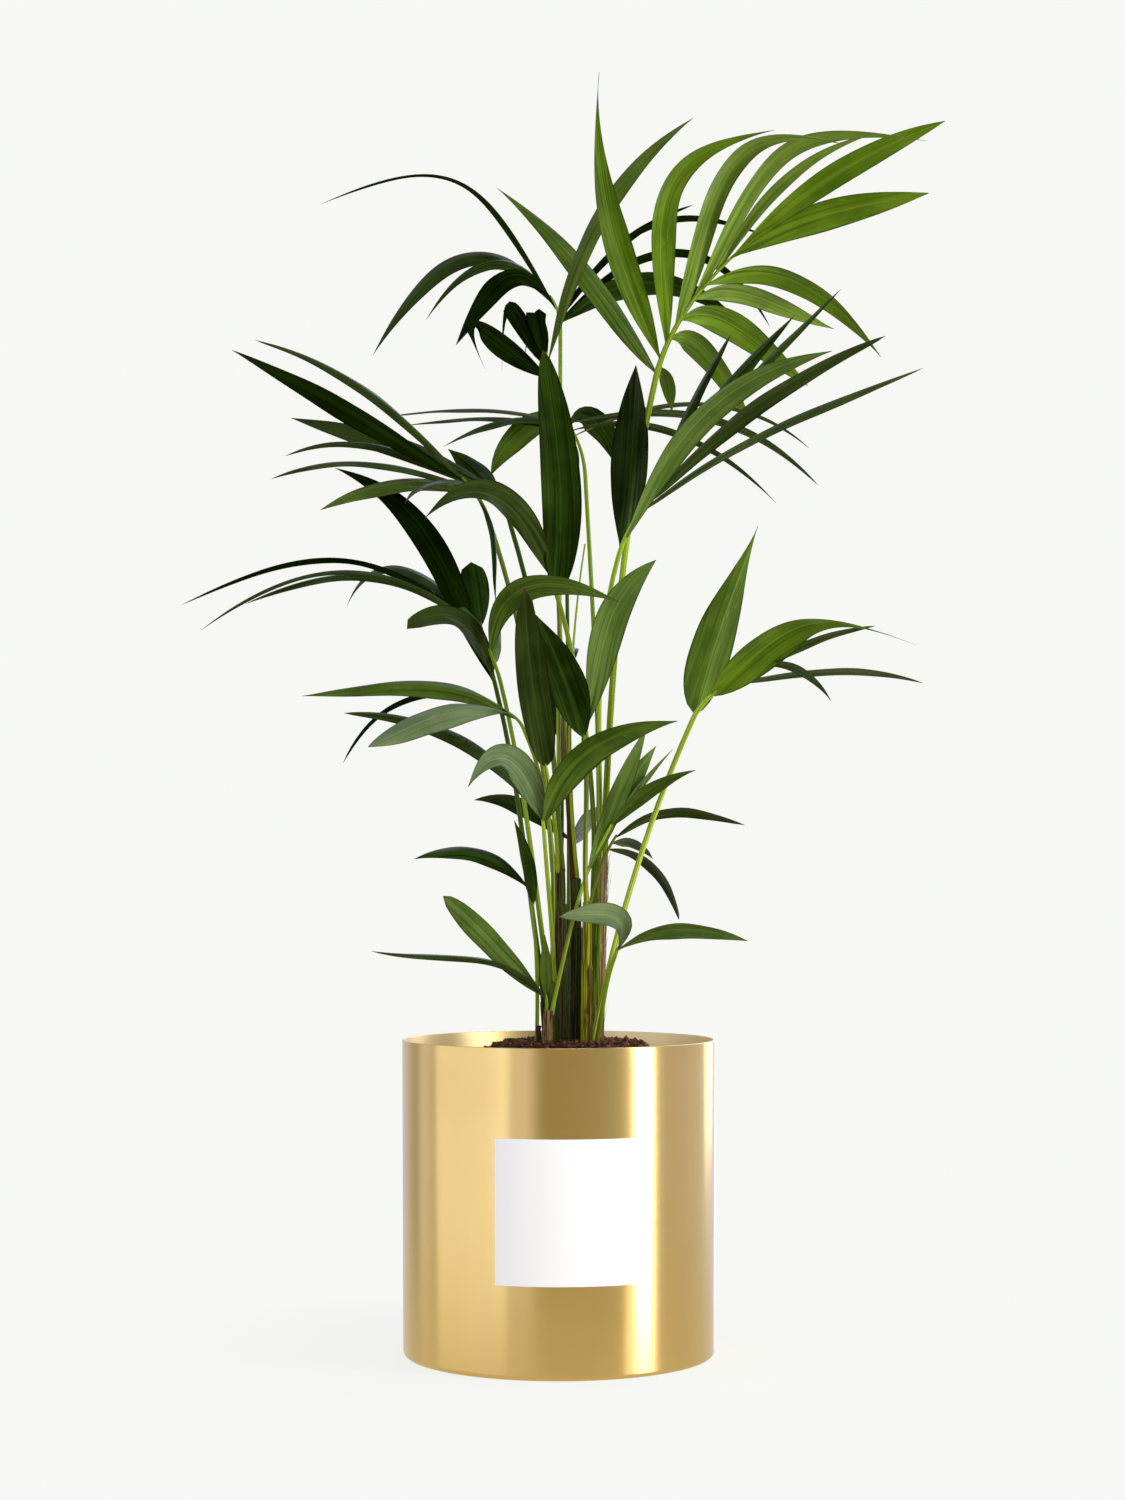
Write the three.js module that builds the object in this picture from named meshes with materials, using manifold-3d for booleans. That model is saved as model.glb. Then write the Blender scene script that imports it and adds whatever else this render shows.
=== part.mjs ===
// Potted kentia palm: a clump of feather-leaved palms in a plain brass pot with a square paper label.
//
// Millimetres, +Z up, +X to the right, -Y to the front. The origin is the centre of the pot's flat foot.
// The fronds were set out on a front elevation: a point on it is [across from the pot's axis, height,
// depth behind the axis]. The elevation is in true perspective, so a point that lies nearer to the
// eye or further from it is moved along its line of sight (see onElevation).

import * as THREE from 'three';
import Module from 'manifold-3d';

const wasm = await Module();
wasm.setup();

// ---- Driving dimensions ------------------------------------------------------------------------

const POT = { rim: 156, foot: 154, height: 310, wall: 2.5, floor: 3, edge: 5, sides: 48 };
const SOIL = { crest: 306, crestRadius: 60, slopeRadius: 108, slope: 290, wallHeight: 283, drift: 13 };
const LABEL = { width: 142, height: 137, bottom: 88, turn: 3.5, thickness: 0.6 };
const CLEARANCE = 0.3;

// The eye of the front elevation, and the drawing sheet that leans back in front of it.
const EYE = { across: 3.5, distance: 2625, height: 461 };
const SHEET = { distance: 2620, lean: 3, axisHeight: 601 };

const DEPTH = new THREE.Vector3(0, 1, 0);
const UP = new THREE.Vector3(0, 0, 1);
const RAD = Math.PI / 180;

// A leaflet has more cross-sections where it bends further than `strongBend` degrees in all.
const LEAF = {
  sections: [0, 0.09, 0.27, 0.52, 0.8],
  bentSections: [0, 0.08, 0.22, 0.4, 0.62, 0.84],
  strongBend: 45,
  rootWidth: 4.5,
  thinnest: 2.2,
  lengthPerThickness: 92,
  tipThinning: 0.4,
  reach: 0.37,
};
const STALK = { sides: 6, steps: 6, ribSteps: 4, ribTip: 1.4 };

const COLOURS = {
  brass: '#b08a45',
  paper: '#f4f4f2',
  soil: '#3d2413',
  sheath: '#5f6b33',
  fibre: '#6b5636',
  stalk: '#8fae3c',
  leaf: '#33541f',
  brightLeaf: '#6f9a30',
};

// ---- Small helpers -----------------------------------------------------------------------------

const material = (colour, roughness, metalness = 0) =>
  new THREE.MeshStandardMaterial({ color: colour, roughness, metalness });

const MATERIALS = {
  brass: material(COLOURS.brass, 0.35, 1),
  paper: material(COLOURS.paper, 0.85),
  soil: material(COLOURS.soil, 0.95),
  sheath: material(COLOURS.sheath, 0.7),
  fibre: material(COLOURS.fibre, 0.85),
  stalk: material(COLOURS.stalk, 0.5),
  leaf: material(COLOURS.leaf, 0.45),
  brightLeaf: material(COLOURS.brightLeaf, 0.45),
};

// Turns a point of the front elevation into a point in space.
function onElevation([across, height, depth]) {
  const lean = SHEET.lean * RAD;
  const up = height - SHEET.axisHeight;
  const ray = new THREE.Vector3(
    across - EYE.across,
    SHEET.distance * Math.cos(lean) - up * Math.sin(lean),
    SHEET.distance * Math.sin(lean) + up * Math.cos(lean),
  );
  const eye = new THREE.Vector3(EYE.across, -EYE.distance, EYE.height);
  return eye.addScaledVector(ray, (depth + EYE.distance) / ray.y);
}

// Two directions square to a tangent: the first is also square to the given axis, so that it lies in
// the elevation's plane unless another axis is named.
function frameAt(tangent, axis = DEPTH) {
  const side = new THREE.Vector3().crossVectors(tangent, axis).normalize();
  return [side, new THREE.Vector3().crossVectors(tangent, side)];
}

// A closed solid through rings of points, capped flat or drawn to a single tip. The back half of each
// ring mirrors the front half's diagonals, so that a thin blade can twist without cutting itself.
function loft(rings, tip = null) {
  const count = rings[0].length;
  const points = rings.flat();
  const faces = [];
  for (let ring = 0; ring + 1 < rings.length; ring += 1) {
    for (let i = 0; i < count; i += 1) {
      const a = ring * count + i;
      const b = ring * count + ((i + 1) % count);
      if (i < count / 2) faces.push(a, b, b + count, a, b + count, a + count);
      else faces.push(a, b, a + count, b, b + count, a + count);
    }
  }
  const last = (rings.length - 1) * count;
  for (let i = 1; i + 1 < count; i += 1) {
    faces.push(0, i + 1, i);
    if (!tip) faces.push(last, last + i, last + i + 1);
  }
  if (tip) {
    points.push(tip);
    for (let i = 0; i < count; i += 1) faces.push(last + i, last + ((i + 1) % count), points.length - 1);
  }
  const positions = new Float32Array(points.flatMap((point) => point.toArray()));
  return { positions, faces: new Uint32Array(faces) };
}

function toSolid({ positions, faces }) {
  return new wasm.Manifold(new wasm.Mesh({ numProp: 3, vertProperties: positions, triVerts: faces }));
}

function toGeometry({ positions, faces }) {
  const geometry = new THREE.BufferGeometry();
  geometry.setAttribute('position', new THREE.BufferAttribute(positions, 3));
  geometry.setIndex(new THREE.BufferAttribute(faces, 1));
  return geometry;
}

function fuse(pieces) {
  const whole = pieces.map(toSolid).reduce((sum, next) => sum.add(next));
  const { vertProperties, triVerts } = whole.getMesh();
  return toGeometry({ positions: new Float32Array(vertProperties), faces: new Uint32Array(triVerts) });
}

// A round limb that tapers along a curve. A flat foot or top is cut level.
function limb(curve, startRadius, endRadius, { sides = STALK.sides, steps = STALK.steps, level = [] } = {}) {
  const rings = [];
  for (let step = 0; step <= steps; step += 1) {
    const t = step / steps;
    const centre = curve.getPoint(t);
    const isLevel = (step === 0 && level.includes('foot')) || (step === steps && level.includes('top'));
    const [side, front] = frameAt(isLevel ? UP : curve.getTangent(t));
    const radius = THREE.MathUtils.lerp(startRadius, endRadius, t);
    rings.push(Array.from({ length: sides }, (_, i) => {
      const angle = (2 * Math.PI * i) / sides;
      return centre.clone().addScaledVector(side, radius * Math.cos(angle))
        .addScaledVector(front, radius * Math.sin(angle));
    }));
  }
  return loft(rings);
}

// ---- Fronds ------------------------------------------------------------------------------------

// The leaflets' outlines: where along it one is widest, and how fast it narrows from there.
const SHAPES = {
  plain: { widest: 0.42, tipward: 1.1 },
  wideFoot: { widest: 0.3, tipward: 1.5 },
  tailed: { widest: 0.3, tipward: 1.9 },
  tapered: { widest: 0.36, tipward: 2.0 },
  middle: { widest: 0.5, tipward: 1.0 },
  full: { widest: 0.42, tipward: 0.6 },
  outward: { widest: 0.56, tipward: 0.9 },
  strap: { widest: 0.48, tipward: 0.7 },
  oblong: { widest: 0.6, tipward: 0.55 },
  blunt: { widest: 0.61, tipward: 0.35 },
  flatTop: { widest: 0.7, tipward: 0.3 },
  longTail: { widest: 0.25, tipward: 2.4 },
};

// A leaflet's width along its length, 1 at its widest.
function leafOutline(s, { widest, tipward }) {
  const rootward = (tipward * widest) / (1 - widest);
  return (s / widest) ** rootward * ((1 - s) / (1 - widest)) ** tipward;
}

// The line that a leaflet follows. `rise` and `fall` turn its root and its tip away from the straight
// line between them, in degrees; a large `reach` keeps its ends straight and bends its middle;
// `arch` lifts the middle, for leaflets that point away from the front.
function leafCurve(root, tip, [rise, fall, reach = LEAF.reach], arch) {
  const line = new THREE.Vector3().subVectors(tip, root);
  const turn = line.x < 0 ? -1 : 1;
  const turned = (degrees) => {
    const angle = turn * degrees * RAD;
    return new THREE.Vector3(
      line.x * Math.cos(angle) - line.z * Math.sin(angle),
      line.y / (3 * reach),
      line.x * Math.sin(angle) + line.z * Math.cos(angle),
    ).multiplyScalar(reach);
  };
  const out = root.clone().add(turned(rise));
  const over = tip.clone().sub(turned(-fall));
  out.z += arch;
  over.z += arch;
  return new THREE.CubicBezierCurve3(root, out, over, tip);
}

function leafBlade(rib, leaf) {
  const curve = leafCurve(rib.getPoint(leaf.seat), onElevation(leaf.tip), leaf.bend, leaf.arch);
  const thickness = Math.max(LEAF.thinnest, curve.getLength() / LEAF.lengthPerThickness);
  const axis = leaf.arch > 0 ? UP : DEPTH;
  const isBent = Math.abs(leaf.bend[0]) + Math.abs(leaf.bend[1]) > LEAF.strongBend;
  const rings = (isBent ? LEAF.bentSections : LEAF.sections).map((s) => {
    const [side, front] = frameAt(curve.getTangent(s), axis);
    const face = (leaf.face + leaf.twist * s) * RAD;
    const across = side.clone().multiplyScalar(Math.cos(face)).addScaledVector(front, Math.sin(face));
    const through = side.multiplyScalar(-Math.sin(face)).addScaledVector(front, Math.cos(face));
    const half = Math.max(LEAF.rootWidth, leaf.width * leafOutline(s, leaf.shape)) / 2;
    const thick = (thickness / 2) * (1 - LEAF.tipThinning * s);
    const centre = curve.getPoint(s);
    return [
      centre.clone().addScaledVector(across, half),
      centre.clone().addScaledVector(through, thick),
      centre.clone().addScaledVector(across, -half),
      centre.clone().addScaledVector(through, -thick),
    ];
  });
  return loft(rings, curve.getPoint(1));
}

// A leaflet: its seat along the rib (0 to 1), its tip on the elevation, its bend, its greatest width and how
// far its face turns from the front at its root. `twist` is how much farther it has turned at its tip.
const leaf = (seat, tip, bend, width, face, { shape = SHAPES.plain, twist = 0, arch = 0 } = {}) =>
  ({ seat, tip, bend, width, face, shape, twist, arch });

// Stems: [across, back] on the soil and at the top, the top's height and the two radii.
const STEMS = {
  front_left: { foot: [-12, -34], top: [-10, -36], height: 339, radii: [5, 4.8], kind: 'sheath' },
  left: { foot: [-7, -14], top: [-10, -16], height: 366, radii: [8.5, 9.4], kind: 'sheath' },
  middle: { foot: [1, 3], top: [-1, 3], height: 479, radii: [8, 7.2], kind: 'sheath' },
  slim: { foot: [18, 12], top: [17, 12], height: 469, radii: [5.2, 5.6], kind: 'fibre' },
  front: { foot: [27, -33], top: [28, -33], height: 446, radii: [5.4, 4.6], kind: 'sheath' },
  right: { foot: [35, 2], top: [41, 4], height: 493, radii: [8.4, 8.2], kind: 'fibre' },
  back: { foot: [6, 30], top: [6, 34], height: 430, radii: [7, 6.4], kind: 'sheath' },
};

// Fronds. `on` is the stem and the direction from its middle in degrees (0 right, 90 back), or a place
// on the soil; `neck` and `end` are the two ends of the leafy rib on the elevation; `lean` is how far
// the stalk leans to the right at its foot, its neck and its end; `radii` are the stalk's.
const FRONDS = {
  top_right: {
    on: ['right', 15], neck: [97, 973, -30], end: [179, 1099, -60], lean: [2, 13, 50], radii: [3.6, 3.3],
    bright: true,
    leaves: [
      leaf(0.03, [-62, 1163, 160], [4, 12], 27, 20),
      leaf(0.12, [40, 1279, -175], [-13, -19], 30, 15, { shape: SHAPES.tapered }),
      leaf(0.22, [216, 1221, -210], [35, 59, 0.64], 34, 25, { twist: 55 }),
      leaf(0.34, [287, 1206, -190], [31, 66, 0.62], 33, 32, { twist: 50 }),
      leaf(0.54, [368, 1210, -210], [33, 45, 0.62], 25, 40, { twist: 40 }),
      leaf(0.77, [315, 1217, -110], [21, 31], 16, 50),
      leaf(0.9, [386, 1230, -175], [14, 13], 25, 30, { shape: SHAPES.outward }),
      leaf(0.95, [370, 1158, -130], [16, 8], 30, 25, { shape: SHAPES.middle }),
      leaf(0.7, [322, 994, 65], [48, 33, 0.42], 28, 55),
      leaf(0.58, [275, 1022, 95], [40, 9], 24, 50),
      leaf(0.42, [249, 965, 130], [57, 14], 32, 40),
      leaf(0.28, [191, 929, 130], [77, 20], 28, 45),
      leaf(0.08, [113, 939, 30], [40, 10], 16, 30),
    ],
  },
  top_left_back: {
    on: ['middle', 90], neck: [1, 1023, 60], end: [-9, 1055, 75], lean: [0, 0, -30], radii: [2.7, 2.5],
    leaves: [
      leaf(0.5, [-238, 1147, 190], [34, 50, 0.56], 24, 70, { shape: SHAPES.strap }),
      leaf(0.6, [-186, 996, 145], [66, 50, 0.62], 30, 42, { shape: SHAPES.middle }),
      leaf(0.8, [-133, 1031, 95], [65, 53, 0.6], 26, 50),
      leaf(0.9, [-103, 1006, 30], [82, 32, 0.6], 30, 28, { shape: SHAPES.middle }),
      leaf(0.3, [134, 1146, 175], [14, 22], 15, 70, { shape: SHAPES.strap }),
      leaf(0.4, [210, 1114, 210], [30, 44, 0.48], 13, 72, { shape: SHAPES.strap }),
      leaf(0.2, [211, 1024, 240], [45, 66, 0.54], 14, 60, { shape: SHAPES.strap }),
      leaf(0.15, [186, 1021, 160], [42, 47, 0.45], 28, 40),
    ],
  },
  top_left_front: {
    on: ['slim', 180], neck: [-10, 969, 10], end: [-13, 999, 5], lean: [-4, -3, -5], radii: [2.3, 2.4],
    leaves: [
      leaf(0.6, [134, 1233, -10], [19, 26], 24, 50, { shape: SHAPES.middle }),
      leaf(0.15, [-74, 982, -65], [40, 108, 1.36], 30, 22, { shape: SHAPES.tailed, twist: 38 }),
      leaf(0.5, [-57, 980, 30], [63, 90, 2.0], 28, 30, { shape: SHAPES.tailed, twist: 40 }),
      leaf(0.75, [-36, 980, 40], [96, 72, 2.9], 30, 40, { shape: SHAPES.tailed, twist: 40 }),
    ],
  },
  centre_back: {
    on: ['right', 110], neck: [26, 875, 60], end: [7, 931, 90], lean: [1, -3, -30], radii: [2.7, 2.5],
    leaves: [
      leaf(0.9, [-169, 935, 255], [15, 11], 20, 70, { shape: SHAPES.strap }),
      leaf(0.75, [-157, 925, 210], [18, 11], 20, 66),
      leaf(0.85, [-116, 904, 160], [33, 25], 20, 60),
      leaf(0.98, [-68, 876, 175], [66, 43], 30, 20, { shape: SHAPES.middle }),
      leaf(0.95, [259, 866, 240], [26, 34, 0.4], 13, 60, { shape: SHAPES.strap }),
      leaf(0.8, [217, 848, 190], [38, 29], 12, 60),
      leaf(0.7, [250, 903, 305], [30, 40], 11, 75, { shape: SHAPES.strap }),
      leaf(0.9, [58, 883, 190], [100, 58, 0.6], 28, 30, { shape: SHAPES.middle }),
    ],
  },
  centre: {
    on: ['right', 190], neck: [-2, 757, -45], end: [-9, 777, -55], lean: [-1, -17, -20], radii: [3, 2.8],
    leaves: [
      leaf(0.15, [-16, 1001, -150], [11, 7], 40, 10, { shape: SHAPES.full }),
      leaf(0.8, [-134, 833, -210], [50, 68, 0.62], 32, 25),
    ],
  },
  left_high: {
    on: ['middle', 180], neck: [-71, 833, -25], end: [-97, 873, -45], lean: [-5, -19, -50], radii: [2.6, 2.4],
    leaves: [
      leaf(0.9, [-327, 1001, -110], [2, 5], 27, 33, { shape: SHAPES.middle }),
      leaf(0.8, [-304, 1011, 20], [13, 20], 22, 60, { shape: SHAPES.strap }),
      leaf(0.7, [-288, 872, -190], [20, 28], 20, 65, { shape: SHAPES.strap }),
      leaf(0.4, [-63, 747, -75], [25, 5], 14, 65),
      leaf(0.85, [-154, 847, -160], [40, 45], 16, 50),
    ],
  },
  left_mid: {
    on: ['middle', 0], neck: [-47, 821, -5], end: [-67, 865, -10], lean: [-4, -17, -45], radii: [2.6, 2.4],
    leaves: [
      leaf(0.95, [-268, 933, 95], [8, 8], 28, 30, { shape: SHAPES.middle }),
      leaf(0.8, [-274, 895, 0], [15, 36], 22, 58, { shape: SHAPES.strap }),
      leaf(0.6, [-239, 841, -70], [31, 27], 26, 50, { shape: SHAPES.outward }),
      leaf(0.9, [-111, 902, 65], [5, 10], 26, 20),
    ],
  },
  left_wide: {
    on: ['left', 200], neck: [-63, 663, -40], end: [-79, 729, -55], lean: [-9, -14, -14], radii: [2.7, 2.2],
    leaves: [
      leaf(0.06, [-224, 883, -30], [12, 36, 0.4], 32, 25, { shape: SHAPES.middle }),
      leaf(0.2, [-152, 722, -175], [47, 59, 0.6], 26, 30, { shape: SHAPES.blunt }),
      leaf(0.95, [-88, 789, 20], [3, 3], 28, 10, { shape: SHAPES.flatTop }),
      leaf(0.9, [-378, 746, 65], [34, 31, 0.47], 22, 70, { shape: SHAPES.strap }),
      leaf(0.8, [-359, 720, -130], [45, 40, 0.45], 20, 70, { shape: SHAPES.strap }),
      leaf(0.85, [-314, 747, -20], [36, 32, 0.42], 20, 65, { shape: SHAPES.strap }),
      leaf(0.98, [-212, 745, 95], [34, 78, 0.5], 20, 50),
    ],
  },
  left_inner: {
    on: ['left', 272], neck: [-59, 671, -62], end: [-70, 703, -74], lean: [-8, -14, -18], radii: [2.7, 2.1],
    leaves: [
      leaf(0.9, [60, 749, -200], [70, 44, 0.56], 28, 35),
      leaf(0.5, [-58, 723, -5], [5, 5], 12, 30),
    ],
  },
  left_low: {
    on: ['left', 56], neck: [-35, 622, -70], end: [-51, 639, -85], lean: [0, -24, -60], radii: [2.7, 2.1],
    leaves: [
      leaf(0.5, [-257, 655, -95], [33, 12], 28, 52),
      leaf(0.9, [-191, 604, -240], [30, 12], 32, 35, { shape: SHAPES.outward }),
      leaf(0.8, [-216, 588, -5], [46, 50, 0.45], 14, 65, { shape: SHAPES.strap }),
    ],
  },
  low_front: {
    on: ['left', 344], neck: [-15, 523, -95], end: [-17, 539, -102], lean: [-2, -4, -8], radii: [2.7, 2.3],
    leaves: [
      leaf(0.5, [-91, 564, -240], [50, 84, 0.8], 31, 20),
      leaf(0.35, [119, 630, -240], [38, 32, 0.42], 32, 30),
      leaf(0.8, [-215, 638, -120], [30, 28], 22, 55, { shape: SHAPES.strap }),
    ],
  },
  front_upright: {
    on: ['middle', 270], neck: [-12, 579, -62], end: [-15, 595, -66], lean: [1, -10, -11], radii: [2.6, 2.3],
    leaves: [
      leaf(0.4, [-35, 763, -200], [-3, -5], 33, 12, { shape: SHAPES.full }),
    ],
  },
  front_pair: {
    on: ['front', 0], neck: [25, 609, -55], end: [25, 625, -60], lean: [-6, -7, 0], radii: [2.6, 2.5],
    leaves: [
      leaf(0.3, [-23, 736, -150], [4, 6], 38, 14),
      leaf(0.6, [97, 791, -110], [6, 30, 0.42], 34, 14, { shape: SHAPES.outward }),
    ],
  },
  right_wide: {
    on: [33, -12], neck: [134, 632, -50], end: [201, 684, -75], lean: [11, 24, 65], radii: [3, 2.6],
    leaves: [
      leaf(0.06, [199, 825, -20], [4, 2], 46, 18, { shape: SHAPES.wideFoot }),
      leaf(0.35, [357, 706, -240], [32, 36, 0.58], 42, 20, { shape: SHAPES.longTail, twist: 55 }),
      leaf(0.65, [316, 725, -20], [8, 15], 15, 60, { shape: SHAPES.strap }),
      leaf(0.6, [364, 668, 65], [8, 17], 13, 60, { shape: SHAPES.strap }),
      leaf(0.98, [272, 650, -175], [58, 38], 11, 55),
    ],
  },
  right_high: {
    on: ['right', 275], neck: [60, 795, -50], end: [107, 879, -80], lean: [1, 16, 32], radii: [2.9, 2.8],
    leaves: [
      leaf(0.06, [77, 986, -30], [-5, -2], 40, 16, { shape: SHAPES.middle }),
      leaf(0.12, [273, 1000, -240], [26, 34, 0.42], 32, 45, { shape: SHAPES.middle }),
      leaf(0.95, [236, 1036, -95], [7, 7], 26, 60, { shape: SHAPES.middle }),
      leaf(0.8, [172, 1017, -15], [5, 5], 18, 58, { shape: SHAPES.strap }),
      leaf(0.9, [282, 1062, -10], [5, 3], 18, 68, { shape: SHAPES.strap }),
      leaf(0.6, [326, 1015, -185], [12, 14], 24, 58, { shape: SHAPES.strap }),
      leaf(0.5, [364, 983, -80], [13, 6], 18, 70, { shape: SHAPES.strap }),
    ],
  },
  right_small: {
    on: ['front_left', 0], neck: [26, 472, -20], end: [53, 527, -40], lean: [12, 18, 28], radii: [2, 1.9],
    leaves: [
      leaf(0.08, [88, 625, -70], [2, 2], 22, 25, { shape: SHAPES.middle }),
      leaf(0.8, [97, 605, -20], [8, 8], 20, 30, { shape: SHAPES.middle }),
      leaf(0.9, [114, 602, -10], [8, 6], 12, 60),
      leaf(0.97, [137, 581, -110], [18, 22], 18, 35),
    ],
  },
  right_drooping: {
    on: [25, -14], neck: [47, 496, -22], end: [58, 516, -20], lean: [0, 24, 35], radii: [2, 1.9],
    leaves: [
      leaf(0.9, [186, 526, -10], [38, 23, 0.42], 18, 55, { shape: SHAPES.strap }),
      leaf(0.6, [94, 492, 65], [45, 30], 14, 45),
      leaf(0.3, [120, 431, 95], [50, 34], 18, 60, { shape: SHAPES.strap }),
    ],
  },
  left_bottom: {
    on: [-22, -18], neck: [-26, 441, -33], end: [-31, 465, -38], lean: [2, -6, -22], radii: [2.2, 2.1],
    leaves: [
      leaf(0.9, [-145, 492, -145], [40, 35, 0.4], 22, 45, { shape: SHAPES.middle }),
      leaf(0.15, [-45, 531, -95], [5, 6], 20, 50),
    ],
  },
  back_low: {
    on: ['slim', 60], neck: [15, 501, 22], end: [12, 513, 24], lean: [0, -5, -20], radii: [2.2, 2.1],
    leaves: [
      leaf(0.8, [-85, 551, 30], [18, 37], 24, 45, { shape: SHAPES.middle }),
      leaf(0.5, [54, 545, 210], [10, 20], 22, 40),
    ],
  },
  bottom_left: {
    on: ['front_left', 180], neck: [-12, 348, -38], end: [-13, 357, -40], lean: [0, -4, -6], radii: [2, 2],
    leaves: [
      leaf(0.6, [-116, 455, -120], [-1, 6], 27, 30, { shape: SHAPES.oblong }),
      leaf(0.4, [-188, 400, -150], [40, 6, 0.4], 13, 62, { shape: SHAPES.strap }),
      leaf(0.8, [-14, 416, -85], [-3, -3], 14, 30),
    ],
  },
  bottom_right: {
    on: [36, -27], neck: [56, 395, -60], end: [59, 403, -62], lean: [14, 20, 20], radii: [2.3, 2.1],
    leaves: [
      leaf(0.5, [0, 434, -130], [85, 38, 0.7], 24, 15, { shape: SHAPES.outward }),
      leaf(0.8, [189, 410, -175], [32, 25], 22, 50, { shape: SHAPES.middle }),
    ],
  },
  back_mid: {
    on: ['back', 180], neck: [1, 646, 60], end: [-3, 671, 90], lean: [-1, -3, -10], radii: [2.5, 2.3],
    leaves: [
      leaf(0.5, [-19, 711, 250], [5, 5], 30, 12, { shape: SHAPES.middle, arch: 30 }),
      leaf(0.75, [13, 683, 240], [5, 5], 30, -10, { shape: SHAPES.middle, arch: 42 }),
      leaf(0.92, [-3, 616, 270], [5, 5], 30, 15, { shape: SHAPES.middle, arch: 46 }),
    ],
  },
  back_high: {
    on: ['back', 0], neck: [7, 806, 50], end: [4, 841, 85], lean: [0, -1, -10], radii: [2.5, 2.3],
    leaves: [
      leaf(0.5, [0, 921, 240], [5, 5], 30, -12, { shape: SHAPES.middle, arch: 30 }),
      leaf(0.7, [12, 871, 270], [5, 5], 30, 10, { shape: SHAPES.middle, arch: 40 }),
      leaf(0.9, [-4, 840, 220], [5, 5], 30, -8, { shape: SHAPES.middle, arch: 30 }),
    ],
  },
};

// A young leaf still rolled up: a thin spike beside the others.
const SPEAR = { on: ['slim', 300], tip: [26, 807, -30], lean: [-6, 9], radii: [2.2, 0.8] };

// A dead stalk cut off short.
const STUB = { foot: [-20, -31], height: 325, radii: [2.6, 2.2] };

// ---- Stems and stalks --------------------------------------------------------------------------

const SOIL_TOP = SOIL.crest + CLEARANCE;

function stemCurve({ foot, top, height }) {
  return new THREE.LineCurve3(
    new THREE.Vector3(foot[0], foot[1], SOIL_TOP),
    new THREE.Vector3(top[0], top[1], height),
  );
}

// Where a stalk stands: near the edge of its stem's top, or on the soil.
function footOf(on, radius) {
  if (typeof on[0] === 'number') return new THREE.Vector3(on[0], on[1], SOIL_TOP);
  const { top, height, radii } = STEMS[on[0]];
  const fromMiddle = on[0] === 'front' ? 0 : radii[1] - radius - CLEARANCE;
  const angle = on[1] * RAD;
  return new THREE.Vector3(
    top[0] + fromMiddle * Math.cos(angle),
    top[1] + fromMiddle * Math.sin(angle),
    height + CLEARANCE,
  );
}

// The stalk from its foot to its neck: it leans out slowly at first, and faster above.
function stalkCurve(foot, neck, [footLean, neckLean]) {
  const third = (neck.z - foot.z) / 3;
  const depth = neck.y - foot.y;
  const low = new THREE.Vector3(third * Math.tan(footLean * RAD), depth / 6, third);
  const high = new THREE.Vector3(third * Math.tan(neckLean * RAD), depth / 2, third);
  return new THREE.CubicBezierCurve3(foot, foot.clone().add(low), neck.clone().sub(high), neck);
}

// The rib carries the stalk's line on from the neck.
function ribCurve(stalk, end, endLean) {
  const neck = stalk.getPoint(1);
  const third = neck.distanceTo(end) / 3;
  const onward = stalk.getTangent(1).multiplyScalar(third);
  const last = new THREE.Vector3(Math.sin(endLean * RAD), (end.y - neck.y) / (3 * third), Math.cos(endLean * RAD));
  const beforeEnd = end.clone().addScaledVector(last.normalize(), -third);
  return new THREE.CubicBezierCurve3(neck, neck.clone().add(onward), beforeEnd, end);
}

// Holds a curve's start or end back along its own line, to leave the gap at a joint.
function heldBack(curve, startGap, endGap) {
  const held = curve.clone();
  held.v0.addScaledVector(curve.getTangent(0), startGap);
  held.v3.addScaledVector(curve.getTangent(1), -endGap);
  return held;
}

// ---- Pot, soil and label -----------------------------------------------------------------------

function turnedSolid(profile) {
  const points = profile.map(([radius, height]) => new THREE.Vector2(radius, height));
  const lathe = new THREE.LatheGeometry(points, POT.sides);
  return lathe.rotateX(Math.PI / 2);
}

function potRadius(height) {
  return THREE.MathUtils.lerp(POT.foot, POT.rim, height / POT.height);
}

function potGeometry() {
  const { height, wall, floor, edge } = POT;
  const rounding = [15, 45, 75].map((degrees) => [
    potRadius(edge) - edge * (1 - Math.sin(degrees * RAD)),
    edge * (1 - Math.cos(degrees * RAD)),
  ]);
  const lip = wall / 4;
  return turnedSolid([
    [0, 0],
    [potRadius(0) - edge, 0],
    ...rounding,
    [potRadius(edge), edge],
    [potRadius(height - lip), height - lip],
    [potRadius(height) - lip, height],
    [potRadius(height) - wall + lip, height],
    [potRadius(height) - wall, height - lip],
    [potRadius(edge) - wall, floor + edge],
    [potRadius(floor) - wall - edge, floor],
    [0, floor],
  ]);
}

// The soil fills the pot; its mound lies a little to the right of the pot's middle.
function soilGeometry() {
  const inside = (height) => potRadius(height) - POT.wall - CLEARANCE;
  const bottom = POT.floor + CLEARANCE;
  const edge = POT.edge;
  const geometry = turnedSolid([
    [0, bottom],
    [inside(bottom) - edge - CLEARANCE, bottom],
    [inside(bottom + edge) - CLEARANCE, bottom + edge + CLEARANCE],
    [inside(SOIL.wallHeight), SOIL.wallHeight],
    [SOIL.slopeRadius, SOIL.slope],
    [SOIL.crestRadius, SOIL.crest],
    [0, SOIL.crest],
  ]);
  const points = geometry.attributes.position;
  for (let i = 0; i < points.count; i += 1) {
    const rise = Math.max(0, points.getZ(i) - SOIL.wallHeight) / (SOIL.crest - SOIL.wallHeight);
    points.setX(i, points.getX(i) + SOIL.drift * rise);
  }
  return geometry;
}

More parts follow.
